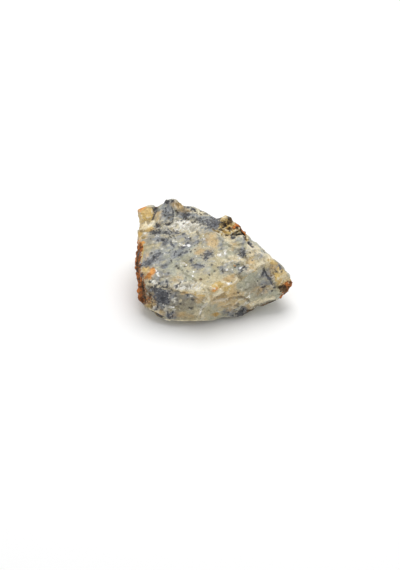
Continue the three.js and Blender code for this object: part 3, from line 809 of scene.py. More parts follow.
MARKS[Look.GLINT] = (
    Mark("bright face on streak", (188.8, 245.3), (0.6, 0.42), -20),
    Mark("beside bright face", (184, 244.7), (0.35, 0.2)),
    Mark("left of twin flecks", (220.3, 254.8), (0.3, 0.35)),
    Mark("right of twin flecks", (225, 252.8), (0.22, 0.6)),
    Mark("lens", (227, 269.6), (0.4, 0.32)),
    Mark("lower right cluster", (240.3, 267.4), (0.42, 0.3), 15),
    Mark("above ridge", (193.7, 272.5), (0.3, 0.3)),
    Mark("below it", (193, 277), (0.32, 0.3)),
    Mark("glassy spot on band", (228.5, 283.5), (0.3, 0.22)),
    Mark("left edge", (158.8, 276.5), (0.26, 0.26)),
)

SPRINKLES: dict[Look, tuple[Sprinkle, ...]] = {}
SPRINKLES[Look.SPECK] = (
    Sprinkle("over top face", (185, 260), (14.0, 8.0), 0, 30, (0.10, 0.22)),
    Sprinkle("along crest", (190, 216), (9.0, 2.2), -8, 30, (0.14, 0.28)),
    Sprinkle("left of pocket", (206, 221), (4.2, 2.2), -25, 26, (0.18, 0.36)),
    Sprinkle("of band", (166, 232), (5.0, 2.2), -3, 24, (0.16, 0.32)),
    Sprinkle("in clouds", (168, 240), (6.0, 1.6), -8, 14, (0.14, 0.26)),
    Sprinkle("in left streak", (152, 260), (3.6, 1.8), 25, 12, (0.14, 0.26)),
    Sprinkle("in diagonal streak", (184, 249), (5.0, 2.0), 20, 14, (0.14, 0.26)),
    Sprinkle("in middle clouds", (202, 262), (4.0, 2.6), 10, 14, (0.14, 0.26)),
    Sprinkle("right of top face", (242, 260), (3.6, 3.6), 0, 16, (0.14, 0.28)),
    Sprinkle("on front left", (168, 300), (7.0, 3.4), -5, 30, (0.14, 0.30)),
    Sprinkle("on front right", (252, 290), (9.0, 3.0), 22, 16, (0.10, 0.22)),
    Sprinkle("at lower right", (236, 310), (3.6, 1.4), 10, 12, (0.16, 0.32)),
    Sprinkle("in pocket", (230, 228), (4.0, 3.8), 0, 14, (0.16, 0.32)),
)
SPRINKLES[Look.CHALK] = (
    Sprinkle("crumbs on white chips", (184, 226), (5.0, 1.8), -3, 16, (0.2, 0.45)),
    Sprinkle("over top face", (185, 262), (15.0, 9.0), 0, 24, (0.14, 0.30)),
    Sprinkle("on right", (236, 260), (5.0, 4.0), 0, 14, (0.16, 0.34)),
    Sprinkle("on lower edge", (190, 285), (9.0, 1.6), -2, 16, (0.14, 0.30)),
    Sprinkle("on front", (205, 305), (18.0, 3.4), 3, 20, (0.12, 0.28)),
)
SPRINKLES[Look.IVORY] = (
    Sprinkle("light grains in pocket", (229, 228), (4.0, 3.6), 0, 12, (0.25, 0.5)),
)

GROOVES: tuple[Line, ...] = (
    Line("behind amber block", ((156, 208), (155, 213), (152.5, 219), (148, 222)), 0.8, 0.5),
    Line("foot of peak", ((160, 225), (166, 225.5), (171, 223.5), (176, 220.5)), 0.7, 0.4),
    Line("behind white chips", ((177, 220), (184, 219), (190, 220), (193, 223)), 0.6, 0.35),
    Line("under white chips", ((171, 229), (177, 232), (185, 232), (193, 231)), 0.6, 0.3),
    Line("under left ledge", ((140, 231), (147, 231), (152, 229.5), (157, 226)), 0.6, 0.35),
    Line(
        "rim of pocket",
        ((212, 228), (218, 231.5), (223, 236), (230, 239), (235, 237), (242, 234.5)), 0.7, 0.5,
    ),
    Line("right of pocket", ((242.5, 234), (245, 240), (248.5, 243), (253, 247.5)), 0.6, 0.5),
    Line("step of smooth facet", ((231, 264), (235, 269), (238, 275), (241, 278)), 0.6, 0.4),
    Line("left of smooth facet", ((224, 262), (222.5, 268), (223, 273)), 0.5, 0.3),
    Line("through right clusters", ((238, 250), (241, 256), (247, 258), (248, 264)), 0.5, 0.3),
    Line("under block", ((264.5, 269), (267.5, 276), (272, 282), (279, 288)), 0.8, 0.55),
    Line("crease", ((208, 290), (206.5, 297), (207, 304), (203, 310), (200.5, 318)), 0.7, 0.45),
    Line("under lens", ((222, 306.5), (231, 305), (241, 305.5), (247, 309)), 0.6, 0.35),
    Line("over lens", ((227, 300), (235, 297.5), (243, 296.5), (249, 301)), 0.5, 0.3),
    Line("layer in front right", ((211, 300), (220, 296), (229, 296), (237, 293), (249, 288)), 0.5, 0.25),
    Line("layer in front left", ((158, 303), (166, 305), (176, 307), (184, 306)), 0.5, 0.3),
    Line("under left lip", ((146, 310), (152, 312.5), (157, 314.5), (166, 318)), 0.6, 0.4),
    Line("under ridge", ((170, 290.5), (182, 293), (194, 296.5), (203, 303)), 0.5, 0.3),
    Line("inside rind", ((143, 283), (146, 291), (148, 301), (152, 308)), 0.6, 0.35),
    Line("gap in pocket", ((222, 224), (226, 228), (229, 229)), 0.6, 0.5),
    Line("second gap in pocket", ((229, 219), (230, 223), (234, 228)), 0.5, 0.4),
)

HACKLES: tuple[Mark, ...] = (
    Mark("white chips", (184, 226), (5.4, 2.2), -5),
    Mark("band", (163, 231), (4.4, 2.4), -5),
    Mark("crest", (190, 214), (8.0, 2.6), -8, 0.6),
    Mark("right of top", (236, 258), (5.0, 6.0)),
    Mark("lower edge", (180, 285), (10.0, 1.8), -3, 0.9),
    Mark("lower left edge", (152, 276), (3.0, 3.6), 0, 0.9),
    Mark("front left corner", (152, 303), (3.0, 4.0)),
    Mark("low front left", (164, 311), (6.0, 2.2), -10, 0.9),
    Mark("lower right", (238, 309), (4.6, 2.6), 10, 0.9),
    Mark("pocket", (230, 228), (5.0, 4.6)),
    Mark("tip", (286, 289), (3.0, 3.0)),
)

HIDDEN_MARKS: dict[Look, tuple[HiddenMark, ...]] = {}
HIDDEN_MARKS[Look.ORANGE] = (
    HiddenMark("orange rim of rind", (-24.0, -2.5, 14.5), (3.4, 1.1), 0.95),
    HiddenMark("orange on rind", (-24.0, 2.0, 13.0), (1.8, 1.0), 0.9),
)
HIDDEN_MARKS[Look.UMBER] = (
    HiddenMark("black on rind", (-24.5, -3.0, 9.5), (2.2, 1.0), 0.9),
    HiddenMark("black low on rind", (-23.5, 2.5, 5.0), (2.6, 0.9), 0.8),
    HiddenMark("brown high on rind", (-24.0, 6.0, 14.0), (2.6, 1.6), 0.85),
    HiddenMark("brown on rind's front", (-23.0, -9.0, 7.0), (1.6, 1.2), 0.8),
)
HIDDEN_MARKS[Look.RUST] = (
    HiddenMark("rind over left end", (-24.0, 1.0, 10.0), (6.5, 7.5), 0.95),
    HiddenMark("rind low on left end", (-23.0, -7.0, 6.0), (4.0, 3.4), 0.85),
    HiddenMark("rind up left end", (-23.0, 4.0, 16.0), (4.0, 3.0), 0.85),
    HiddenMark("rind's back edge", (-22.0, 9.0, 8.0), (3.0, 4.4), 0.7),
    HiddenMark("rust behind tip", (24.0, -1.0, 7.0), (3.0, 2.4)),
    HiddenMark("stain on back", (4.0, 17.0, 8.0), (4.5, 1.6), 0.75),
)
HIDDEN_MARKS[Look.OCHRE] = (
    HiddenMark("ochre beside rind", (-19.0, 11.0, 9.0), (5.0, 3.6), 0.8),
    HiddenMark("ochre on rind", (-24.0, 4.0, 8.0), (2.6, 1.6), 0.9),
    HiddenMark("ochre under rind", (-23.0, -2.0, 3.5), (3.4, 1.2), 0.85),
    HiddenMark("ochre behind pocket", (5.0, 12.0, 19.0), (3.4, 2.2), 0.9),
)
HIDDEN_MARKS[Look.AMBER] = (
    HiddenMark("amber on back", (-14.0, 14.0, 16.0), (4.0, 2.8), 0.8),
    HiddenMark("amber low on right", (16.0, 8.0, 5.0), (4.5, 2.4), 0.8),
)


@dataclass(frozen=True)
class HiddenScatter:
    """Patches strewn over the sides that the show camera doesn't see.

    Attributes:
        seed: Fixes where they fall.
        kinds: For each look, how many patches it has and their least and greatest half length.
        slimness: The least share that a patch's width is of its length.
        strength: How whole the weakest and the strongest are.
    """

    seed: int = 11
    kinds: tuple[tuple[Look, int, Pair], ...] = (
        (Look.SMOKE, 10, (2.0, 4.6)),
        (Look.HAZE, 34, (1.2, 3.8)),
        (Look.TAN, 22, (1.2, 3.4)),
        (Look.AMBER, 6, (1.0, 2.6)),
        (Look.IVORY, 20, (0.7, 2.6)),
        (Look.CHALK, 40, (0.3, 1.7)),
        (Look.ORANGE, 6, (0.5, 1.3)),
        (Look.RUST, 8, (0.5, 1.6)),
        (Look.UMBER, 16, (0.3, 1.1)),
        (Look.MOSS, 60, (0.3, 1.9)),
        (Look.SPECK, 260, (0.14, 0.36)),
        (Look.GLINT, 12, (0.2, 0.4)),
    )
    slimness: float = 0.3
    strength: Pair = (0.75, 1.0)


# ---- Node building ----


class Bench:
    """Adds nodes to one tree and links them."""

    MIX_INPUTS = (0, 6, 7)  # the factor and the two colours of a Mix node
    MIX_RESULT = 2
    NUMBER_INPUTS = (0, 2, 3)  # the factor and the two numbers of a Mix node
    NOISE_MIDDLE = (0.5, 0.5, 0.5)  # the mean of a noise texture's colour

    def __init__(self, tree: Tree) -> None:
        """Starts work on a tree."""
        self.tree = tree

    def node(self, kind: str, inputs: dict | None = None, **settings: object) -> Node:
        """Adds one node.

        Args:
            kind: The node's type name.
            inputs: What goes into its sockets, by name or number: another node's socket, or a value.
            settings: The node's own properties.

        Returns:
            The new node.
        """
        made = self.tree.nodes.new(kind)
        for name, value in settings.items():
            setattr(made, name, value)
        for key, value in (inputs or {}).items():
            self.feed(made.inputs[key], value)
        return made

    def feed(self, socket: Socket, value: object) -> None:
        """Links a socket into an input, or sets the input's own value.

        Args:
            socket: The input.
            value: Another node's output, or a value.
        """
        if isinstance(value, Socket):
            self.tree.links.new(value, socket)
        else:
            socket.default_value = value

    def math(self, operation: str, *values: object) -> Socket:
        """A Math node's result, from its inputs in order."""
        return self.node("ShaderNodeMath", dict(enumerate(values)), operation=operation).outputs[0]

    def vector(self, operation: str, *values: object) -> Socket:
        """A Vector Math node's result, from its inputs in order."""
        made = self.node("ShaderNodeVectorMath", dict(enumerate(values)), operation=operation)
        return made.outputs["Value" if operation == "DOT_PRODUCT" else "Vector"]

    def scaled(self, vector: object, factor: object) -> Socket:
        """A vector times a number."""
        inputs = {0: vector, "Scale": factor}
        return self.node("ShaderNodeVectorMath", inputs, operation="SCALE").outputs[0]

    def mix(self, share: object, first: object, second: object) -> Socket:
        """A blend of two colours, with the given share of the second."""
        inputs = dict(zip(self.MIX_INPUTS, (share, first, second)))
        return self.node("ShaderNodeMix", inputs, data_type="RGBA").outputs[self.MIX_RESULT]

    def blend(self, share: object, first: object, second: object) -> Socket:
        """A blend of two numbers, with the given share of the second."""
        inputs = dict(zip(self.NUMBER_INPUTS, (share, first, second)))
        return self.node("ShaderNodeMix", inputs, data_type="FLOAT").outputs[0]

    def step(self, value: object, start: object, end: object) -> Socket:
        """A smooth step from 0 where the value is at the start to 1 at the end. Either may be the lower."""
        inputs = {"Value": value, "From Min": start, "From Max": end}
        return self.node("ShaderNodeMapRange", inputs, interpolation_type="SMOOTHSTEP").outputs[0]

    def noise(self, place: object, size: object, detail: float, rough: float = 0.5) -> Node:
        """A noise texture.

        Args:
            place: The point.
            size: Length of its lumps.
            detail: How many finer layers it has.
            rough: How strong they are.

        Returns:
            The noise node.
        """
        scale = self.math("DIVIDE", 1.0, size) if isinstance(size, Socket) else 1.0 / size
        inputs = {"Vector": place, "Scale": scale, "Detail": detail, "Roughness": rough}
        return self.node("ShaderNodeTexNoise", inputs)

    def bent(self, place: object, size: object, detail: float, reach: object) -> Socket:
        """A point moved about by noise with lumps of this size and detail, by as much as the reach."""
        bend = self.vector("SUBTRACT", self.noise(place, size, detail).outputs["Color"], self.NOISE_MIDDLE)
        return self.vector("ADD", place, self.scaled(bend, reach))


def rgba(colour: Colour) -> tuple[float, float, float, float]:
    """A colour with full alpha."""
    return (*colour, 1.0)


@dataclass
class Group:
    """A new node group, with a bench on its tree.

    Attributes:
        name: The group's name.
        kind: The tree's type, for a shader or for geometry.
    """

    name: str
    kind: str

    def __post_init__(self) -> None:
        """Makes the tree with its two end nodes."""
        self.tree = bpy.data.node_groups.new(self.name, self.kind)
        self.bench = Bench(self.tree)
        self.entry = self.tree.nodes.new("NodeGroupInput")
        self.leave = self.tree.nodes.new("NodeGroupOutput")

    def take(self, name: str, kind: str, default: object = None) -> Socket:
        """Adds an input.

        Args:
            name: The input's name.
            kind: Its socket type.
            default: Its value where nothing is linked, or None.

        Returns:
            The socket that carries it inside the group.
        """
        made = self.tree.interface.new_socket(name=name, in_out="INPUT", socket_type=kind)
        if default is not None:
            made.default_value = default
        return self.entry.outputs[name]

    def give(self, name: str, kind: str, value: Socket) -> None:
        """Adds an output of this name and socket type, which puts out the value."""
        self.tree.interface.new_socket(name=name, in_out="OUTPUT", socket_type=kind)
        self.tree.links.new(value, self.leave.inputs[name])


# ---- The broken surface ----


@dataclass(frozen=True)
class Relief:
    """The broken surface that is finer than the solid's facets. A size is across a form, a height its own."""

    scoop_size: float = 4.6
    scoop_height: float = 0.20
    chip_size: float = 1.5
    chip_height: float = 0.30
    flake_size: float = 8.0
    flake_height: float = 0.24
    grain_size: float = 0.9
    grain_height: float = 0.03
    crust_size: float = 1.4
    crust_height: float = 0.42
    layer_gap: float = 2.1
    layer_height: float = 0.16
    seed: float = 3.0

    def inputs(self) -> dict[str, float]:
        """The sizes as a tree's inputs, by name, such as Scoop Size for scoop_size."""
        return {size.name.replace("_", " ").title(): getattr(self, size.name) for size in fields(self)}


class ReliefTree:
    """The Geometry Nodes tree that moves each point of the stone along its normal."""

    CRUST_RISE = (0.35, 0.7)  # the amounts of rust or ochre where the crust starts and is whole
    HACKLE_RISE = (0.2, 0.8)  # the same for the hackly chips
    CHIP_SHARES = (0.95, 0.08)  # how much more the chips stand out where it is hackly, and how much elsewhere
    FOOT_RISE = (0.05, 1.5)  # the heights above the table where the relief starts and is whole
    LUMP_GAIN = 2.4  # brings noise about its middle up to a height of 1
    SCOOP_BEND = 1.1  # how far the rims of the scoops wander, in scoops
    SCOOP_MEAN = 0.22  # the mean of the squared distance from the middle of a scoop
    SCOOP_GAIN = 2.0  # brings the rest up to a height of 1
    FLAKE_RISE = (0.49, 0.515)  # the noise levels between which a flake's edge steps up
    LAYER_WAVE = (6.2, 6.0)  # length and height of the waves in the ledges
    LAYER_UP = (-0.28, 0.1, 1.0)  # the way across the ledges
    LAYER_FACING = (-0.3, -0.75)  # how far back a surface faces where the ledges start and are whole

    def __init__(self, relief: Relief, material: Material) -> None:
        """Builds the tree.

        Args:
            relief: Its sizes.
            material: The finish that it gives the stone.
        """
        self.group = group = Group("broken_stone_relief", "GeometryNodeTree")
        self.bench = bench = group.bench
        stone = group.take("Geometry", "NodeSocketGeometry")
        sizes = relief.inputs().items()
        self.sizes = {name: group.take(name, "NodeSocketFloat", value) for name, value in sizes}
        position = bench.scaled(bench.node("GeometryNodeInputPosition").outputs[0], 1.0 / MM)
        self.normal = bench.node("GeometryNodeInputNormal").outputs[0]
        shift = bench.node("ShaderNodeCombineXYZ", {"X": self.sizes["Seed"]}).outputs[0]
        self.place = bench.vector("ADD", position, shift)
        above = bench.node("ShaderNodeSeparateXYZ", {0: position}).outputs["Z"]
        height = bench.math("MULTIPLY", self._height(), bench.step(above, *self.FOOT_RISE))
        offset = bench.scaled(self.normal, bench.math("MULTIPLY", height, MM))
        moved = bench.node("GeometryNodeSetPosition", {"Geometry": stone, "Offset": offset}).outputs[0]
        real = bench.node("GeometryNodeRealizeInstances", {0: moved}).outputs[0]
        dressed = bench.node("GeometryNodeSetMaterial", {"Geometry": real, "Material": material}).outputs[0]
        group.give("Geometry", "NodeSocketGeometry", dressed)

    def _height(self) -> Socket:
        """How far each point moves: the crust's knobs or the bare break, with the grooves cut in.

        Returns:
            The height, in millimetres.
        """
        bench = self.bench
        hackly = bench.step(self._amount(Form.HACKLE), *self.HACKLE_RISE)
        broken = bench.math("ADD", self._scoops("Scoop"), self._layers())
        broken = bench.math("ADD", broken, self._flakes())
        chip_share = bench.math("MULTIPLY_ADD", hackly, *self.CHIP_SHARES)
        broken = bench.math("MULTIPLY_ADD", self._scoops("Chip"), chip_share, broken)
        knobs = bench.math("ADD", self._lumps("Crust"), self._scoops("Crust"))
        crust = bench.math("MAXIMUM", self._amount(Look.RUST), self._amount(Look.OCHRE))
        height = bench.blend(bench.step(crust, *self.CRUST_RISE), broken, knobs)
        height = bench.math("ADD", height, self._lumps("Grain"))
        return bench.math("SUBTRACT", height, self._amount(Form.GROOVE))

    def _amount(self, name: Look | Form) -> Socket:
        """How much of a look or form there is at each point."""
        return self.bench.node("GeometryNodeInputNamedAttribute", {"Name": name.value}).outputs[0]

    def _lumps(self, kind: str) -> Socket:
        """Round lumps about 0.

        Args:
            kind: Whose size and height they have.

        Returns:
            The height of the surface.
        """
        bench = self.bench
        noise = bench.noise(self.place, self.sizes[f"{kind} Size"], detail=3.0, rough=0.6).outputs[0]
        lumps = bench.math("MULTIPLY", bench.math("SUBTRACT", noise, 0.5), self.LUMP_GAIN)
        return bench.math("MULTIPLY", lumps, self.sizes[f"{kind} Height"])

    def _scoops(self, kind: str) -> Socket:
        """Shallow scoops that meet in sharp ridges, as waxy stone breaks.

        Args:
            kind: Whose size and height they have.

        Returns:
            The height of the surface.
        """
        bench = self.bench
        size = self.sizes[f"{kind} Size"]
        reach = bench.math("MULTIPLY", size, self.SCOOP_BEND)
        bent = bench.bent(self.place, size, detail=3.0, reach=reach)
        inputs = {"Vector": bent, "Scale": bench.math("DIVIDE", 1.0, size)}
        away = bench.node("ShaderNodeTexVoronoi", inputs).outputs["Distance"]
        bowl = bench.math("MULTIPLY_ADD", away, away, -self.SCOOP_MEAN)
        bowl = bench.math("MULTIPLY", bowl, self.SCOOP_GAIN)
        return bench.math("MULTIPLY", bowl, self.sizes[f"{kind} Height"])

    def _flakes(self) -> Socket:
        """Low steps with winding edges, where thin flakes came off in three layers.

        Returns:
            The height of the surface.
        """
        bench = self.bench
        winding = bench.noise(self.place, self.sizes["Flake Size"], detail=3.0, rough=0.4).outputs["Color"]
        parts = bench.node("ShaderNodeSeparateXYZ", {0: winding}).outputs
        steps = [bench.step(part, *self.FLAKE_RISE) for part in parts]
        total = bench.math("ADD", bench.math("ADD", steps[0], steps[1]), steps[2])
        centred = bench.math("SUBTRACT", total, len(steps) / 2)
        return bench.math("MULTIPLY", centred, self.sizes["Flake Height"])

    def _layers(self) -> Socket:
        """Low wavy ledges that rise to the right across the front.

        Returns:
            The height of the surface.
        """
        bench = self.bench
        wave_length, wave_height = self.LAYER_WAVE
        wave = bench.noise(self.place, wave_length, detail=2.0).outputs[0]
        along = bench.vector("DOT_PRODUCT", self.place, self.LAYER_UP)
        layer = bench.math("MULTIPLY_ADD", wave, wave_height, along)
        layer = bench.math("DIVIDE", layer, self.sizes["Layer Gap"])
        rise = bench.math("SUBTRACT", bench.math("FRACT", layer), 0.5)
        facing = bench.node("ShaderNodeSeparateXYZ", {0: self.normal}).outputs["Y"]
        share = bench.math("MULTIPLY", bench.step(facing, *self.LAYER_FACING), self.sizes["Layer Height"])
        return bench.math("MULTIPLY", rise, share)


# ---- The material ----


class OpalMaterial:
    """The one material of the stone: plain opal, with each look laid over it in turn."""

    NAME = "dendritic_opal"
    NUMBERS = ("Cover", "Grain", "Stretch", "Ragged", "Soft")  # what a finish sets by the same name
    FIRST_OVER_WEAR = Look.ORANGE  # this look and the ones after it lie over the whitened edges and darkened cracks
    SHIFT = (17.0, -9.0, 5.0)  # how far each look's mottling lies from the one before it
    CRUMBLE = 2.6  # brings the mottling about its middle up to 1
    LEAST_AMOUNT = 0.01  # under this a patch has no crumbs either
    BROAD = 4.0  # how many times larger the broad tones of a patch are than its grain
    TONE_RISE = (0.80, 1.20)  # the sums of two noises where the light tone starts and is whole
    GRAIN_RANGE = (0.3, 0.7)  # the noise levels of the darkest and lightest grains

    def __init__(self, body: OpalBody) -> None:
        """Starts the material.

        Args:
            body: The plain opal.
        """
        self.body = body
        self.material = bpy.data.materials.new(self.NAME)
        self.material.use_nodes = True
        self.material.node_tree.nodes.clear()
        self.bench = Bench(self.material.node_tree)
        inside = self.bench.node("ShaderNodeTexCoord").outputs["Object"]
        self.place = self.bench.scaled(inside, 1.0 / MM)

    def build(self) -> Material:
        """Makes the material's nodes.

        Returns:
            The material.
        """
        body = self.body
        patch = self._patch_group()
        colour = self._plain()
        rough: object = body.roughness
        for look in FINISHES:
            if look is self.FIRST_OVER_WEAR:
                colour = self._tone_edges_and_cracks(colour)
            laid = self._lay(patch, look, colour, rough)
            colour = laid.outputs["Colour"]
            rough = laid.outputs["Roughness"]
        inputs = {
            "Base Color": self._grained(colour),
            "Roughness": rough,
            "IOR": body.ior,
            "Specular IOR Level": body.gloss,
            "Subsurface Weight": body.scatter,
            "Subsurface Radius": body.scatter_colour,
            "Subsurface Scale": body.scatter_radius * MM,
            "Normal": self._bump(),
        }
        shader = self.bench.node("ShaderNodeBsdfPrincipled", inputs, subsurface_method="RANDOM_WALK")
        self.bench.node("ShaderNodeOutputMaterial", {"Surface": shader.outputs[0]})
        return self.material

    def _plain(self) -> Socket:
        """The plain opal's colour: cream, with pale green, milk and grey in clouds and wisps.

        Returns:
            The colour.
        """
        bench = self.bench
        reach, size = self.body.bend
        bent = bench.bent(self.place, size, detail=2.0, reach=reach)
        colour: object = rgba(self.body.cream)
        for veil in self.body.veils:
            cloud = bench.noise(bent, veil.size, veil.detail, veil.rough).outputs[0]
            share = bench.math("MULTIPLY", bench.step(cloud, *veil.rise), veil.share)
            colour = bench.mix(share, colour, rgba(veil.colour))
        return colour

    def _grained(self, colour: Socket) -> Socket:
        """The colour with the fine light and dark grain that runs through the whole stone.

        Args:
            colour: The colour so far.

        Returns:
            The grained colour.
        """
        grain = self.bench.noise(self.place, self.body.grain_size, detail=3.0, rough=0.7).outputs[0]
        inputs = dict(enumerate((grain, *self.GRAIN_RANGE, *self.body.grain_shades)))
        return self.bench.scaled(colour, self.bench.node("ShaderNodeMapRange", inputs).outputs[0])

    def _tone_edges_and_cracks(self, colour: Socket) -> Socket:
        """Whitens the sharp edges and darkens the cracks.

        Args:
            colour: The colour so far.

        Returns:
            The colour with its edges whitened and its cracks darkened.
        """
        bench = self.bench
        edge = bench.node("ShaderNodeAttribute", attribute_name=EDGE).outputs["Fac"]
        crumbs = bench.noise(self.place, self.body.wear_size, detail=4.0, rough=0.65).outputs[0]
        for wear in self.body.wear:
            level = bench.math("MULTIPLY_ADD", crumbs, wear.crumble, edge)
            share = bench.math("MULTIPLY", bench.step(level, *wear.rise), wear.share)
            colour = bench.mix(share, colour, rgba(wear.colour))
        return colour

    def _bump(self) -> Socket:
        """The grain that is finer than the mesh.

        Returns:
            The normal.
        """
        body = self.body
        grain = self.bench.noise(self.place, body.bump_size, detail=4.0, rough=0.6).outputs[0]
        inputs = {"Strength": body.bump_strength, "Distance": body.bump_height * MM, "Height": grain}
        return self.bench.node("ShaderNodeBump", inputs).outputs[0]

    def _patch_group(self) -> Tree:
        """Builds the group that lays one look over what is under it.

        Returns:
            The group's tree.
        """
        group = Group("laid_patch", "ShaderNodeTree")
        bench = group.bench
        place = group.take("Place", "NodeSocketVector")
        under, light, dark = (group.take(name, "NodeSocketColor") for name in ("Under", "Light", "Dark"))
        numbers = ("Amount", "Roughness Under", "Roughness Laid", *self.NUMBERS)
        amount, rough_under, rough, cover, grain, stretch, ragged, soft = (
            group.take(name, "NodeSocketFloat") for name in numbers
        )

        along = bench.vector("DOT_PRODUCT", place, BEDDING)
        shorter = bench.math("SUBTRACT", bench.math("DIVIDE", 1.0, stretch), 1.0)
        drawn = bench.scaled(BEDDING, bench.math("MULTIPLY", along, shorter))
        mottle = bench.noise(bench.vector("ADD", place, drawn), grain, detail=4.0, rough=0.58)
        crumbs = bench.math("SUBTRACT", mottle.outputs[0], 0.5)
        level = bench.math("MULTIPLY_ADD", crumbs, bench.math("MULTIPLY", ragged, self.CRUMBLE), amount)
        mask = bench.step(level, bench.math("SUBTRACT", 0.5, soft), bench.math("ADD", 0.5, soft))
        touched = bench.math("GREATER_THAN", amount, self.LEAST_AMOUNT)
        mask = bench.math("MULTIPLY", bench.math("MULTIPLY", mask, touched), cover)
        fine = bench.node("ShaderNodeSeparateColor", {0: mottle.outputs["Color"]}).outputs[1]
        broad = bench.noise(place, bench.math("MULTIPLY", grain, self.BROAD), detail=2.0).outputs[0]
        tone = bench.step(bench.math("ADD", fine, broad), *self.TONE_RISE)
        group.give("Colour", "NodeSocketColor", bench.mix(mask, under, bench.mix(tone, dark, light)))
        change = bench.math("SUBTRACT", rough, rough_under)
        group.give("Roughness", "NodeSocketFloat", bench.math("MULTIPLY_ADD", change, mask, rough_under))
        return group.tree

    def _lay(self, patch: Tree, look: Look, under: object, rough_under: object) -> Node:
        """Lays one look over the colour so far.

        Args:
            patch: The group that lays a look.
            look: The look, whose attribute says where it is.
            under: The colour so far.
            rough_under: The roughness so far.

        Returns:
            The group's node.
        """
        bench = self.bench
        finish = FINISHES[look]
        number = list(Look).index(look)
        inputs = {
            "Place": bench.vector("ADD", self.place, tuple(number * shift for shift in self.SHIFT)),
            "Amount": bench.node("ShaderNodeAttribute", attribute_name=look.value).outputs["Fac"],
            "Under": under,
            "Light": rgba(finish.light),
            "Dark": rgba(finish.dark),
            "Roughness Under": rough_under,
            "Roughness Laid": finish.roughness,
        }
        inputs |= {name: getattr(finish, name.lower()) for name in self.NUMBERS}
        return bench.node("ShaderNodeGroup", inputs, node_tree=patch)


# ---- The stone ----


def faded(distance: np.ndarray) -> np.ndarray:
    """How much a patch covers: 1 at its middle, a half at its rim, at distance 1, and 0 at distance 2."""
    return np.clip(1.0 - distance / 2.0, 0.0, 1.0)


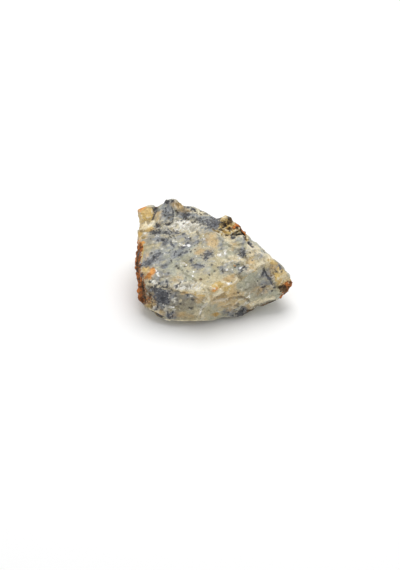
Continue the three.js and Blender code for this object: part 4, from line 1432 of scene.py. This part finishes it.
class Painter:
    """Works out how much of each look there is at each point of a mesh."""

    SLANT_LIMIT = -0.12  # how far a surface may turn from the eye and still be painted
    SIGHT_START = 0.3  # how far off the surface a line of sight starts
    HAZE_RIM = 0.9  # width of the haze round a dark mark
    HAZE_STRENGTH = 0.74
    OVAL_REACH = 3.0  # how far from its middle an oval may lie in depth too, in half lengths
    LINE_REACH = 4.0  # how far past the ends of a line's part it may lie, in half widths
    MARGIN = 1.0  # what is added to both
    HIDDEN_FROM = 0.25  # how far a seen surface faces the eye where hidden patches start
    HIDDEN_SPAN = 0.35  # how much further it turns until they are whole

    def __init__(self, mesh: Mesh, camera: ShowCamera) -> None:
        """Reads the mesh.

        Args:
            mesh: The stone, in metres.
            camera: The show camera.
        """
        self.mesh = mesh
        self.camera = camera
        self.points = read_vectors(mesh.vertices, "co") / MM
        self.normals = read_vectors(mesh.vertices, "normal")
        polygons = [tuple(polygon.vertices) for polygon in mesh.polygons]
        self.surface = BVHTree.FromPolygons(self.points.tolist(), polygons)
        self.pixels = camera.project(self.points)
        to_eye = np.array(camera.eye) - self.points
        to_eye /= np.linalg.norm(to_eye, axis=1)[:, None]
        self.slant = (self.normals * to_eye).sum(axis=1)
        self.seen = self._seen(to_eye)
        self.amounts = {name: np.zeros(len(self.points)) for name in (*Look, *Form)}

    def _seen(self, to_eye: np.ndarray) -> np.ndarray:
        """Which points the show camera sees.

        Args:
            to_eye: The direction from each point to the eye.

        Returns:
            True for each point that is seen.
        """
        seen = self.slant > 0.0
        for index in np.flatnonzero(seen):
            start = Vector(self.points[index] + self.SIGHT_START * self.normals[index])
            hit = self.surface.ray_cast(start, Vector(to_eye[index]))[0]
            seen[index] = hit is None
        return seen

    def paint(self) -> None:
        """Works out every look and form, and stores each as a mesh attribute."""
        for look, marks in MARKS.items():
            for mark in marks:
                self._add(look, self._cover(mark))
        for mark in MARKS[Look.MOSS]:
            self._add(Look.HAZE, self._cover(self._widened(mark)))
        strewn = [(look, sprinkle) for look, sprinkles in SPRINKLES.items() for sprinkle in sprinkles]
        for seed, (look, sprinkle) in enumerate(strewn, 1):
            self._strew(look, sprinkle, np.random.default_rng(seed))
        for look, hidden_marks in HIDDEN_MARKS.items():
            for hidden in hidden_marks:
                self._hidden_oval(look, hidden)
        self._strew_hidden(HiddenScatter())
        for groove in GROOVES:
            # From 1 along its middle to 0 at its rims.
            profile = np.clip(2.0 * self._line(groove) / groove.strength - 1.0, 0.0, 1.0)
            self._add(Form.GROOVE, groove.strength * profile)
        for mark in HACKLES:
            self._add(Form.HACKLE, self._oval(mark))
        for name, amount in self.amounts.items():
            store(self.mesh, name.value, amount)

    def _hit(self, pixel: Pixel) -> Vector | None:
        """The point of the stone that shows at a pixel, or None beside the stone."""
        return self.surface.ray_cast(self.camera.eye, self.camera.ray(pixel))[0]

    def _nearest_seen(self, pixel: Pixel) -> Vector:
        """The point of the stone that shows nearest to a pixel."""
        away = np.hypot(*(self.pixels - np.array(pixel)).T)
        return Vector(self.points[np.argmin(np.where(self.seen, away, np.inf))])

    def _add(self, name: Look | Form, amount: np.ndarray) -> None:
        """Raises the amount of a look or form to at least what is given."""
        self.amounts[name] = np.maximum(self.amounts[name], amount)

    def _cover(self, mark: Mark | Line) -> np.ndarray:
        """How much one mark or line covers each point."""
        return self._line(mark) if isinstance(mark, Line) else self._oval(mark)

    def _widened(self, mark: Mark | Line) -> Mark | Line:
        """The weak hazy rim round a dark mark.

        Args:
            mark: The dark mark.

        Returns:
            The same mark, wider and weaker.
        """
        if isinstance(mark, Line):
            return replace(mark, half_width=mark.half_width + self.HAZE_RIM, strength=self.HAZE_STRENGTH)
        size = (mark.size[0] + self.HAZE_RIM, mark.size[1] + self.HAZE_RIM)
        return replace(mark, size=size, strength=self.HAZE_STRENGTH)

    def _oval(self, mark: Mark) -> np.ndarray:
        """How much one mark covers each point. At its rim that is half its strength.

        Args:
            mark: The mark.

        Returns:
            The amount at each point.
        """
        away = (self.pixels - np.array(mark.seen_at)) * self.camera.mm_per_pixel
        turn = math.radians(mark.turn)
        along = away[:, 0] * math.cos(turn) - away[:, 1] * math.sin(turn)
        across = away[:, 0] * math.sin(turn) + away[:, 1] * math.cos(turn)
        distance = np.hypot(along / mark.size[0], across / mark.size[1])
        near = self._near(mark.seen_at, self.OVAL_REACH * max(mark.size) + self.MARGIN)
        return mark.strength * faded(distance) * near

    def _line(self, line: Line) -> np.ndarray:
        """How much one line covers each point. At its rims that is half its strength.

        Args:
            line: The line.

        Returns:
            The amount at each point.
        """
        amount = np.zeros(len(self.points))
        for start, end in zip(line.path, line.path[1:]):
            first, second = np.array(start), np.array(end)
            span = second - first
            share = np.clip(((self.pixels - first) @ span) / (span @ span), 0.0, 1.0)
            away = self.pixels - (first + share[:, None] * span)
            distance = np.hypot(away[:, 0], away[:, 1]) * self.camera.mm_per_pixel / line.half_width
            reach = self.LINE_REACH * line.half_width + self.MARGIN
            reach += np.linalg.norm(span) * self.camera.mm_per_pixel
            middle = tuple((first + second) / 2)
            amount = np.maximum(amount, faded(distance) * self._near(middle, reach))
        return line.strength * amount

    def _near(self, pixel: Pixel, reach: float) -> np.ndarray:
        """Which points lie near the point of the stone that shows at a pixel, and face the eye.

        Args:
            pixel: The pixel.
            reach: The greatest distance.

        Returns:
            True for each such point.
        """
        middle = np.array(self._hit(pixel) or self._nearest_seen(pixel))
        near = np.linalg.norm(self.points - middle, axis=1) < reach
        return near & (self.slant > self.SLANT_LIMIT)

    def _ball(self, look: Look, middle: Vector, radius: float) -> None:
        """Lays one small round spot of this radius about a point of the surface."""
        distance = np.linalg.norm(self.points - np.array(middle), axis=1)
        self._add(look, faded(distance / radius))

    def _strew(self, look: Look, sprinkle: Sprinkle, chance: np.random.Generator) -> None:
        """Lays the spots of one sprinkle.

        Args:
            look: The spots' look.
            sprinkle: The sprinkle.
            chance: Its own random numbers.
        """
        turn = math.radians(sprinkle.turn)
        for _ in range(sprinkle.count):
            angle = chance.uniform(0.0, math.tau)
            reach = math.sqrt(chance.uniform(0.0, 1.0)) / self.camera.mm_per_pixel
            along = reach * sprinkle.size[0] * math.cos(angle)
            across = reach * sprinkle.size[1] * math.sin(angle)
            right = along * math.cos(turn) + across * math.sin(turn)
            down = across * math.cos(turn) - along * math.sin(turn)
            radius = chance.uniform(*sprinkle.radius)
            middle = self._hit((sprinkle.seen_at[0] + right, sprinkle.seen_at[1] + down))
            if middle is not None:
                self._ball(look, middle, radius)

    def _hidden_share(self) -> np.ndarray:
        """How freely hidden patches may cover each point: 1 where it is hidden, 0 where it faces the eye."""
        share = np.clip((self.HIDDEN_FROM - self.slant) / self.HIDDEN_SPAN, 0.0, 1.0)
        return np.where(self.seen, share, 1.0)

    def _hidden_oval(self, look: Look, mark: HiddenMark) -> None:
        """Lays one patch on a hidden side."""
        middle, normal = self.surface.find_nearest(Vector(mark.place))[:2]
        self._lay_flat(look, middle, normal, normal.orthogonal().normalized(), mark.size, mark.strength)

    def _lay_flat(
        self, look: Look, middle: Vector, normal: Vector, length_way: Vector, size: Pair, strength: float
    ) -> None:
        """Lays an oval patch in the plane of the surface.

        Args:
            look: The patch's look.
            middle: Its middle.
            normal: The surface's normal there.
            length_way: The direction of its length.
            size: Its half length and half width.
            strength: How whole it is.
        """
        width_way = normal.cross(length_way)
        away = self.points - np.array(middle)
        along = away @ np.array(length_way) / size[0]
        across = away @ np.array(width_way) / size[1]
        through = away @ np.array(normal) / size[0]
        distance = np.sqrt(along**2 + across**2 + through**2)
        self._add(look, strength * faded(distance) * self._hidden_share())

    def _strew_hidden(self, scatter: HiddenScatter) -> None:
        """Lays random patches on the hidden sides.

        Args:
            scatter: How many there are, and how large.
        """
        chance = np.random.default_rng(scatter.seed)
        hidden = np.flatnonzero(~self.seen)
        for look, count, reach in scatter.kinds:
            for index in chance.choice(hidden, count):
                normal = Vector(self.normals[index]).normalized()
                turn = chance.uniform(0.0, math.tau)
                first = normal.orthogonal().normalized()
                length_way = first * math.cos(turn) + normal.cross(first) * math.sin(turn)
                length = chance.uniform(*reach)
                size = (length, length * chance.uniform(scatter.slimness, 1.0))
                strength = chance.uniform(*scatter.strength)
                self._lay_flat(look, Vector(self.points[index]), normal, length_way, size, strength)


@dataclass(frozen=True)
class Foot:
    """The rim of the flat spot that the stone rests on, rounded up so that the sides overhang the table.

    Attributes:
        lift: How far the rim rises.
        front_lift: How much more of it there is at the front.
        front_start: How far forward of the middle the front starts.
        front_end: How far to the right it ends.
        front_fade: The length over which it starts and ends.
        reach: How far in under the stone the rounding runs.
        wall_reach: How far up the sides it runs.
        flare: How far the rim moves out, as a share of its rise.
        wave: The mean and the swing of the waves in the rise.
        wave_turns: Their angle for each millimetre to the right, how far they wander, and the angle of that
            for each millimetre back, in radians.
        evening: How often the rise is evened out between neighbouring points.
        flat_height: A point under this height belongs to the flat spot.
        rim_height: A point over that and under this is on its rim.
    """

    lift: float = 0.95
    front_lift: float = 1.1
    front_start: float = 8.0
    front_end: float = 1.0
    front_fade: float = 4.0
    reach: float = 4.2
    wall_reach: float = 7.0
    flare: float = 1.15
    wave: Pair = (0.9, 0.2)
    wave_turns: tuple[float, float, float] = (1.1, 2.0, 0.7)
    evening: int = 5
    flat_height: float = 0.06
    rim_height: float = 0.9

    def shape(self, mesh: Mesh) -> None:
        """Moves the points round the flat spot up and out.

        Args:
            mesh: The stone's mesh, in metres, flat where it rests.
        """
        points = read_vectors(mesh.vertices, "co") / MM
        low = points[:, 2] < self.flat_height
        lift = (self._rise(points) * self._share(points, low))[:, None]
        net = Net(mesh)
        for _ in range(self.evening):
            lift = net.mean(lift)
        lift = np.maximum(lift - lift[low].min(), 0.0)
        outward = points[:, :2] / np.maximum(np.linalg.norm(points[:, :2], axis=1), TINY)[:, None]
        points[:, 2:] += lift
        points[:, :2] += self.flare * lift * outward
        write_points(mesh, points * MM)

    def _share(self, points: np.ndarray, low: np.ndarray) -> np.ndarray:
        """How much of the rise each point takes: 1 at the rim, and 0 far under the stone and up its sides.

        Args:
            points: The points, in millimetres.
            low: True for each point of the flat spot.

        Returns:
            The share at each point.
        """
        rim = points[(points[:, 2] >= self.flat_height) & (points[:, 2] < self.rim_height)]
        tree = kdtree.KDTree(len(rim))
        for number, (right, back, _) in enumerate(rim):
            tree.insert(Vector((right, back, 0.0)), number)
        tree.balance()
        inside = np.zeros(len(points))
        for index in np.flatnonzero(low):
            inside[index] = tree.find(Vector((*points[index, :2], 0.0)))[2]
        share = np.where(low, 1.0 - inside / self.reach, 1.0 - points[:, 2] / self.wall_reach)
        return np.clip(share, 0.0, 1.0) ** 2

    def _rise(self, points: np.ndarray) -> np.ndarray:
        """How far the rim rises at each point.

        Args:
            points: The points, in millimetres.

        Returns:
            The rise at each point.
        """
        right, back = points[:, 0], points[:, 1]
        turns, wander, wander_turns = self.wave_turns
        mean, swing = self.wave
        waves = mean + swing * np.sin(right * turns + wander * np.sin(back * wander_turns))
        forward = np.clip((-back - self.front_start) / self.front_fade, 0.0, 1.0)
        leftward = np.clip((self.front_end - right) / self.front_fade, 0.0, 1.0)
        return (self.lift + self.front_lift * (forward * leftward)) * waves


@dataclass
class OpalStone:
    """The stone itself, as one closed mesh.

    Attributes:
        camera: The camera that its marks are seen from.
        relief: Its broken surface.
        foot: The rim of its flat spot.
        body: The opal that it is made of.
        facet_cuts: How many cuts each side of the solid's facets gets.
        rounding: How often the shallow creases between facets are evened out.
        crease_limits: A crease over the first angle stays sharp, and one under the second is rounded.
        least_rounding: The share of the rounding that a sharp crease still gets.
        evening_step: How far each evening moves a point towards the mean of its neighbours.
        merge_distance: Points of the solid that are nearer than this are one.
        edge_reach: How often the measure of its sharp edges is evened out.
        edge_gain: Brings that measure up to 1 on a sharp edge and down to 0 in a crack.
        sharp_angle: A finished edge over this angle isn't shaded smooth. Both are in degrees.
    """

    camera: ShowCamera
    relief: Relief = field(default_factory=Relief)
    foot: Foot = field(default_factory=Foot)
    body: OpalBody = field(default_factory=OpalBody)
    facet_cuts: int = 3
    rounding: int = 4
    crease_limits: Pair = (22.0, 8.0)
    least_rounding: float = 0.04
    evening_step: float = 0.5
    merge_distance: float = 0.001
    edge_reach: int = 2
    edge_gain: float = 4.0
    sharp_angle: float = 26.0

    def build(self) -> Object:
        """Makes the stone.

        Returns:
            The finished piece.
        """
        piece = self._fine_piece()
        Painter(piece.data, self.camera).paint()
        self._carve(piece)
        self._rest_flat(piece.data)
        self.foot.shape(piece.data)
        self._measure_edges(piece.data)
        piece.data.shade_smooth()
        piece.data.set_sharp_from_angle(angle=math.radians(self.sharp_angle))
        return piece

    def _fine_piece(self) -> Object:
        """Copies the solid, cuts its facets finer and rounds the shallow creases between them.

        Returns:
            The piece, not dressed yet.
        """
        work = bmesh.new()
        work.from_mesh(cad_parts[NODE].data)
        bmesh.ops.remove_doubles(work, verts=work.verts, dist=self.merge_distance * MM)
        bmesh.ops.subdivide_edges(work, edges=work.edges, cuts=self.facet_cuts, use_grid_fill=True)
        bmesh.ops.triangulate(work, faces=work.faces)
        creases = np.zeros(len(work.verts))
        for edge in work.edges:
            angle = math.degrees(edge.calc_face_angle(0.0))
            for vertex in edge.verts:
                creases[vertex.index] = max(creases[vertex.index], angle)
        mesh = bpy.data.meshes.new(PIECE)
        work.to_mesh(mesh)
        work.free()
        points = read_vectors(mesh.vertices, "co")
        kept, rounded = self.crease_limits
        share = np.clip((kept - creases) / (kept - rounded), self.least_rounding, 1.0)[:, None]
        net = Net(mesh)
        for _ in range(self.rounding):
            points += self.evening_step * share * (net.mean(points) - points)
        write_points(mesh, points)
        piece = bpy.data.objects.new(PIECE, mesh)
        bpy.context.scene.collection.objects.link(piece)
        return piece

    def _carve(self, piece: Object) -> None:
        """Gives the piece its broken surface and its material.

        Args:
            piece: The piece, with the looks stored on its mesh.
        """
        modifier = piece.modifiers.new("broken_surface", "NODES")
        modifier.node_group = ReliefTree(self.relief, OpalMaterial(self.body).build()).group.tree
        sockets = {item.name: item.identifier for item in modifier.node_group.interface.items_tree}
        for name, value in self.relief.inputs().items():
            modifier[sockets[name]] = value
        self._apply(piece)

    @staticmethod
    def _apply(piece: Object) -> None:
        """Replaces the piece's mesh by what its modifiers make of it, and removes them.

        Args:
            piece: The piece.
        """
        evaluated = piece.evaluated_get(bpy.context.evaluated_depsgraph_get())
        before = piece.data
        after = bpy.data.meshes.new_from_object(evaluated)
        piece.modifiers.clear()
        piece.data = after
        after.name = piece.name
        bpy.data.meshes.remove(before)

    @staticmethod
    def _rest_flat(mesh: Mesh) -> None:
        """Keeps every point on or above the surface that the stone rests on.

        Args:
            mesh: The stone's mesh.
        """
        points = read_vectors(mesh.vertices, "co")
        points[:, 2] = np.maximum(points[:, 2], 0.0)
        write_points(mesh, points)

    def _measure_edges(self, mesh: Mesh) -> None:
        """Stores how sharp the surface is at each point: over a half on an edge, under it in a crack.

        Args:
            mesh: The finished mesh.
        """
        points = read_vectors(mesh.vertices, "co")
        normals = read_vectors(mesh.vertices, "normal")
        net = Net(mesh)
        sharp = ((points - net.mean(points)) * normals).sum(axis=1)[:, None] / net.mean_length
        for _ in range(self.edge_reach):
            sharp = 0.5 * sharp + 0.5 * net.mean(sharp)
        store(mesh, EDGE, np.clip(0.5 + self.edge_gain * sharp[:, 0], 0.0, 1.0))


class Net:
    """The edges between a mesh's points."""

    def __init__(self, mesh: Mesh) -> None:
        """Reads the edges.

        Args:
            mesh: The mesh.
        """
        pairs = np.zeros(len(mesh.edges) * 2, np.int32)
        mesh.edges.foreach_get("vertices", pairs)
        self.pairs = pairs.reshape(-1, 2)
        self.count = np.maximum(np.bincount(pairs, minlength=len(mesh.vertices)), 1)[:, None]
        points = read_vectors(mesh.vertices, "co")
        ends = points[self.pairs[:, 0]] - points[self.pairs[:, 1]]
        self.mean_length = float(np.linalg.norm(ends, axis=1).mean())

    def mean(self, values: np.ndarray) -> np.ndarray:
        """The mean of each point's neighbours.

        Args:
            values: One row for each point.

        Returns:
            One row for each point.
        """
        total = np.zeros_like(values)
        for column in range(values.shape[1]):
            for near, far in ((0, 1), (1, 0)):
                weights = values[self.pairs[:, far], column]
                total[:, column] += np.bincount(self.pairs[:, near], weights, minlength=len(values))
        return total / self.count


def read_vectors(items: bpy.types.bpy_prop_collection, name: str) -> np.ndarray:
    """Reads one vector from each item of a mesh.

    Args:
        items: The mesh's vertices.
        name: The property's name.

    Returns:
        One row of x, y, z for each item.
    """
    values = np.zeros(len(items) * 3, np.float32)
    items.foreach_get(name, values)
    return values.reshape(-1, 3).astype(float)


def write_points(mesh: Mesh, points: np.ndarray) -> None:
    """Moves a mesh's points to the places given, one row of x, y, z for each."""
    mesh.vertices.foreach_set("co", points.astype(np.float32).ravel())
    mesh.update()


def store(mesh: Mesh, name: str, values: np.ndarray) -> None:
    """Stores one number for each point of a mesh, as an attribute of this name."""
    stored = mesh.attributes.new(name, "FLOAT", "POINT")
    stored.data.foreach_set("value", values.astype(np.float32))


# ---- The studio ----


@dataclass(frozen=True)
class Studio:
    """A white floor in soft light from above.

    Attributes:
        floor_width: Width of the floor.
        floor_colour: The floor's colour.
        floor_roughness: Its roughness.
        floor_gloss: How strongly it mirrors.
        sky_colour: Colour of the light from all round.
        sky_strength: Strength of that light.
        lamp_size: Width of the soft lamp.
        lamp_place: Where the lamp hangs.
        lamp_watts: Its power.
    """

    floor_width: float = 6000.0
    floor_colour: Colour = (0.95, 0.95, 0.95)
    floor_roughness: float = 0.9
    floor_gloss: float = 0.1
    sky_colour: Colour = (1.0, 1.0, 1.0)
    sky_strength: float = 0.595
    lamp_size: float = 560.0
    lamp_place: Place = (30.0, 245.0, 660.0)
    lamp_watts: float = 3.3

    def build(self) -> None:
        """Makes the floor and the lights, and shows their colours as they are."""
        bpy.context.scene.view_settings.view_transform = "Standard"
        self._floor()
        self._sky()
        self._lamp()

    def _floor(self) -> None:
        """Makes the floor at the height that the stone rests on."""
        half = self.floor_width / 2 * MM
        corners = [(-half, -half, 0.0), (half, -half, 0.0), (half, half, 0.0), (-half, half, 0.0)]
        mesh = bpy.data.meshes.new("floor")
        mesh.from_pydata(corners, [], [(0, 1, 2, 3)])
        material = bpy.data.materials.new("white_floor")
        material.use_nodes = True
        shader = material.node_tree.nodes["Principled BSDF"]
        shader.inputs["Base Color"].default_value = rgba(self.floor_colour)
        shader.inputs["Roughness"].default_value = self.floor_roughness
        shader.inputs["Specular IOR Level"].default_value = self.floor_gloss
        mesh.materials.append(material)
        floor = bpy.data.objects.new("floor", mesh)
        bpy.context.scene.collection.objects.link(floor)

    def _sky(self) -> None:
        """Lights the scene evenly from all round."""
        world = bpy.data.worlds.new("studio")
        world.use_nodes = True
        background = world.node_tree.nodes["Background"]
        background.inputs["Color"].default_value = rgba(self.sky_colour)
        background.inputs["Strength"].default_value = self.sky_strength
        bpy.context.scene.world = world

    def _lamp(self) -> None:
        """Hangs the soft lamp, turned to the stone."""
        data = bpy.data.lights.new("soft_lamp", "AREA")
        data.shape = "DISK"
        data.size = self.lamp_size * MM
        data.energy = self.lamp_watts
        lamp = bpy.data.objects.new("soft_lamp", data)
        lamp.location = Vector(self.lamp_place) * MM
        lamp.rotation_euler = Vector(self.lamp_place).to_track_quat("Z", "Y").to_euler()
        bpy.context.scene.collection.objects.link(lamp)


# ---- The scene ----


def main() -> None:
    """Builds the camera, the stone and the studio in order, and reports the piece."""
    logging.basicConfig(level=logging.INFO, format="%(name)s: %(message)s")
    camera = ShowCamera()
    camera.build()
    piece = OpalStone(camera).build()
    LOG.info("%s: %d points, %d faces", piece.name, len(piece.data.vertices), len(piece.data.polygons))
    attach(piece, BODY)
    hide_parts(NODE)
    Studio().build()


if __name__ == "__main__":
    main()
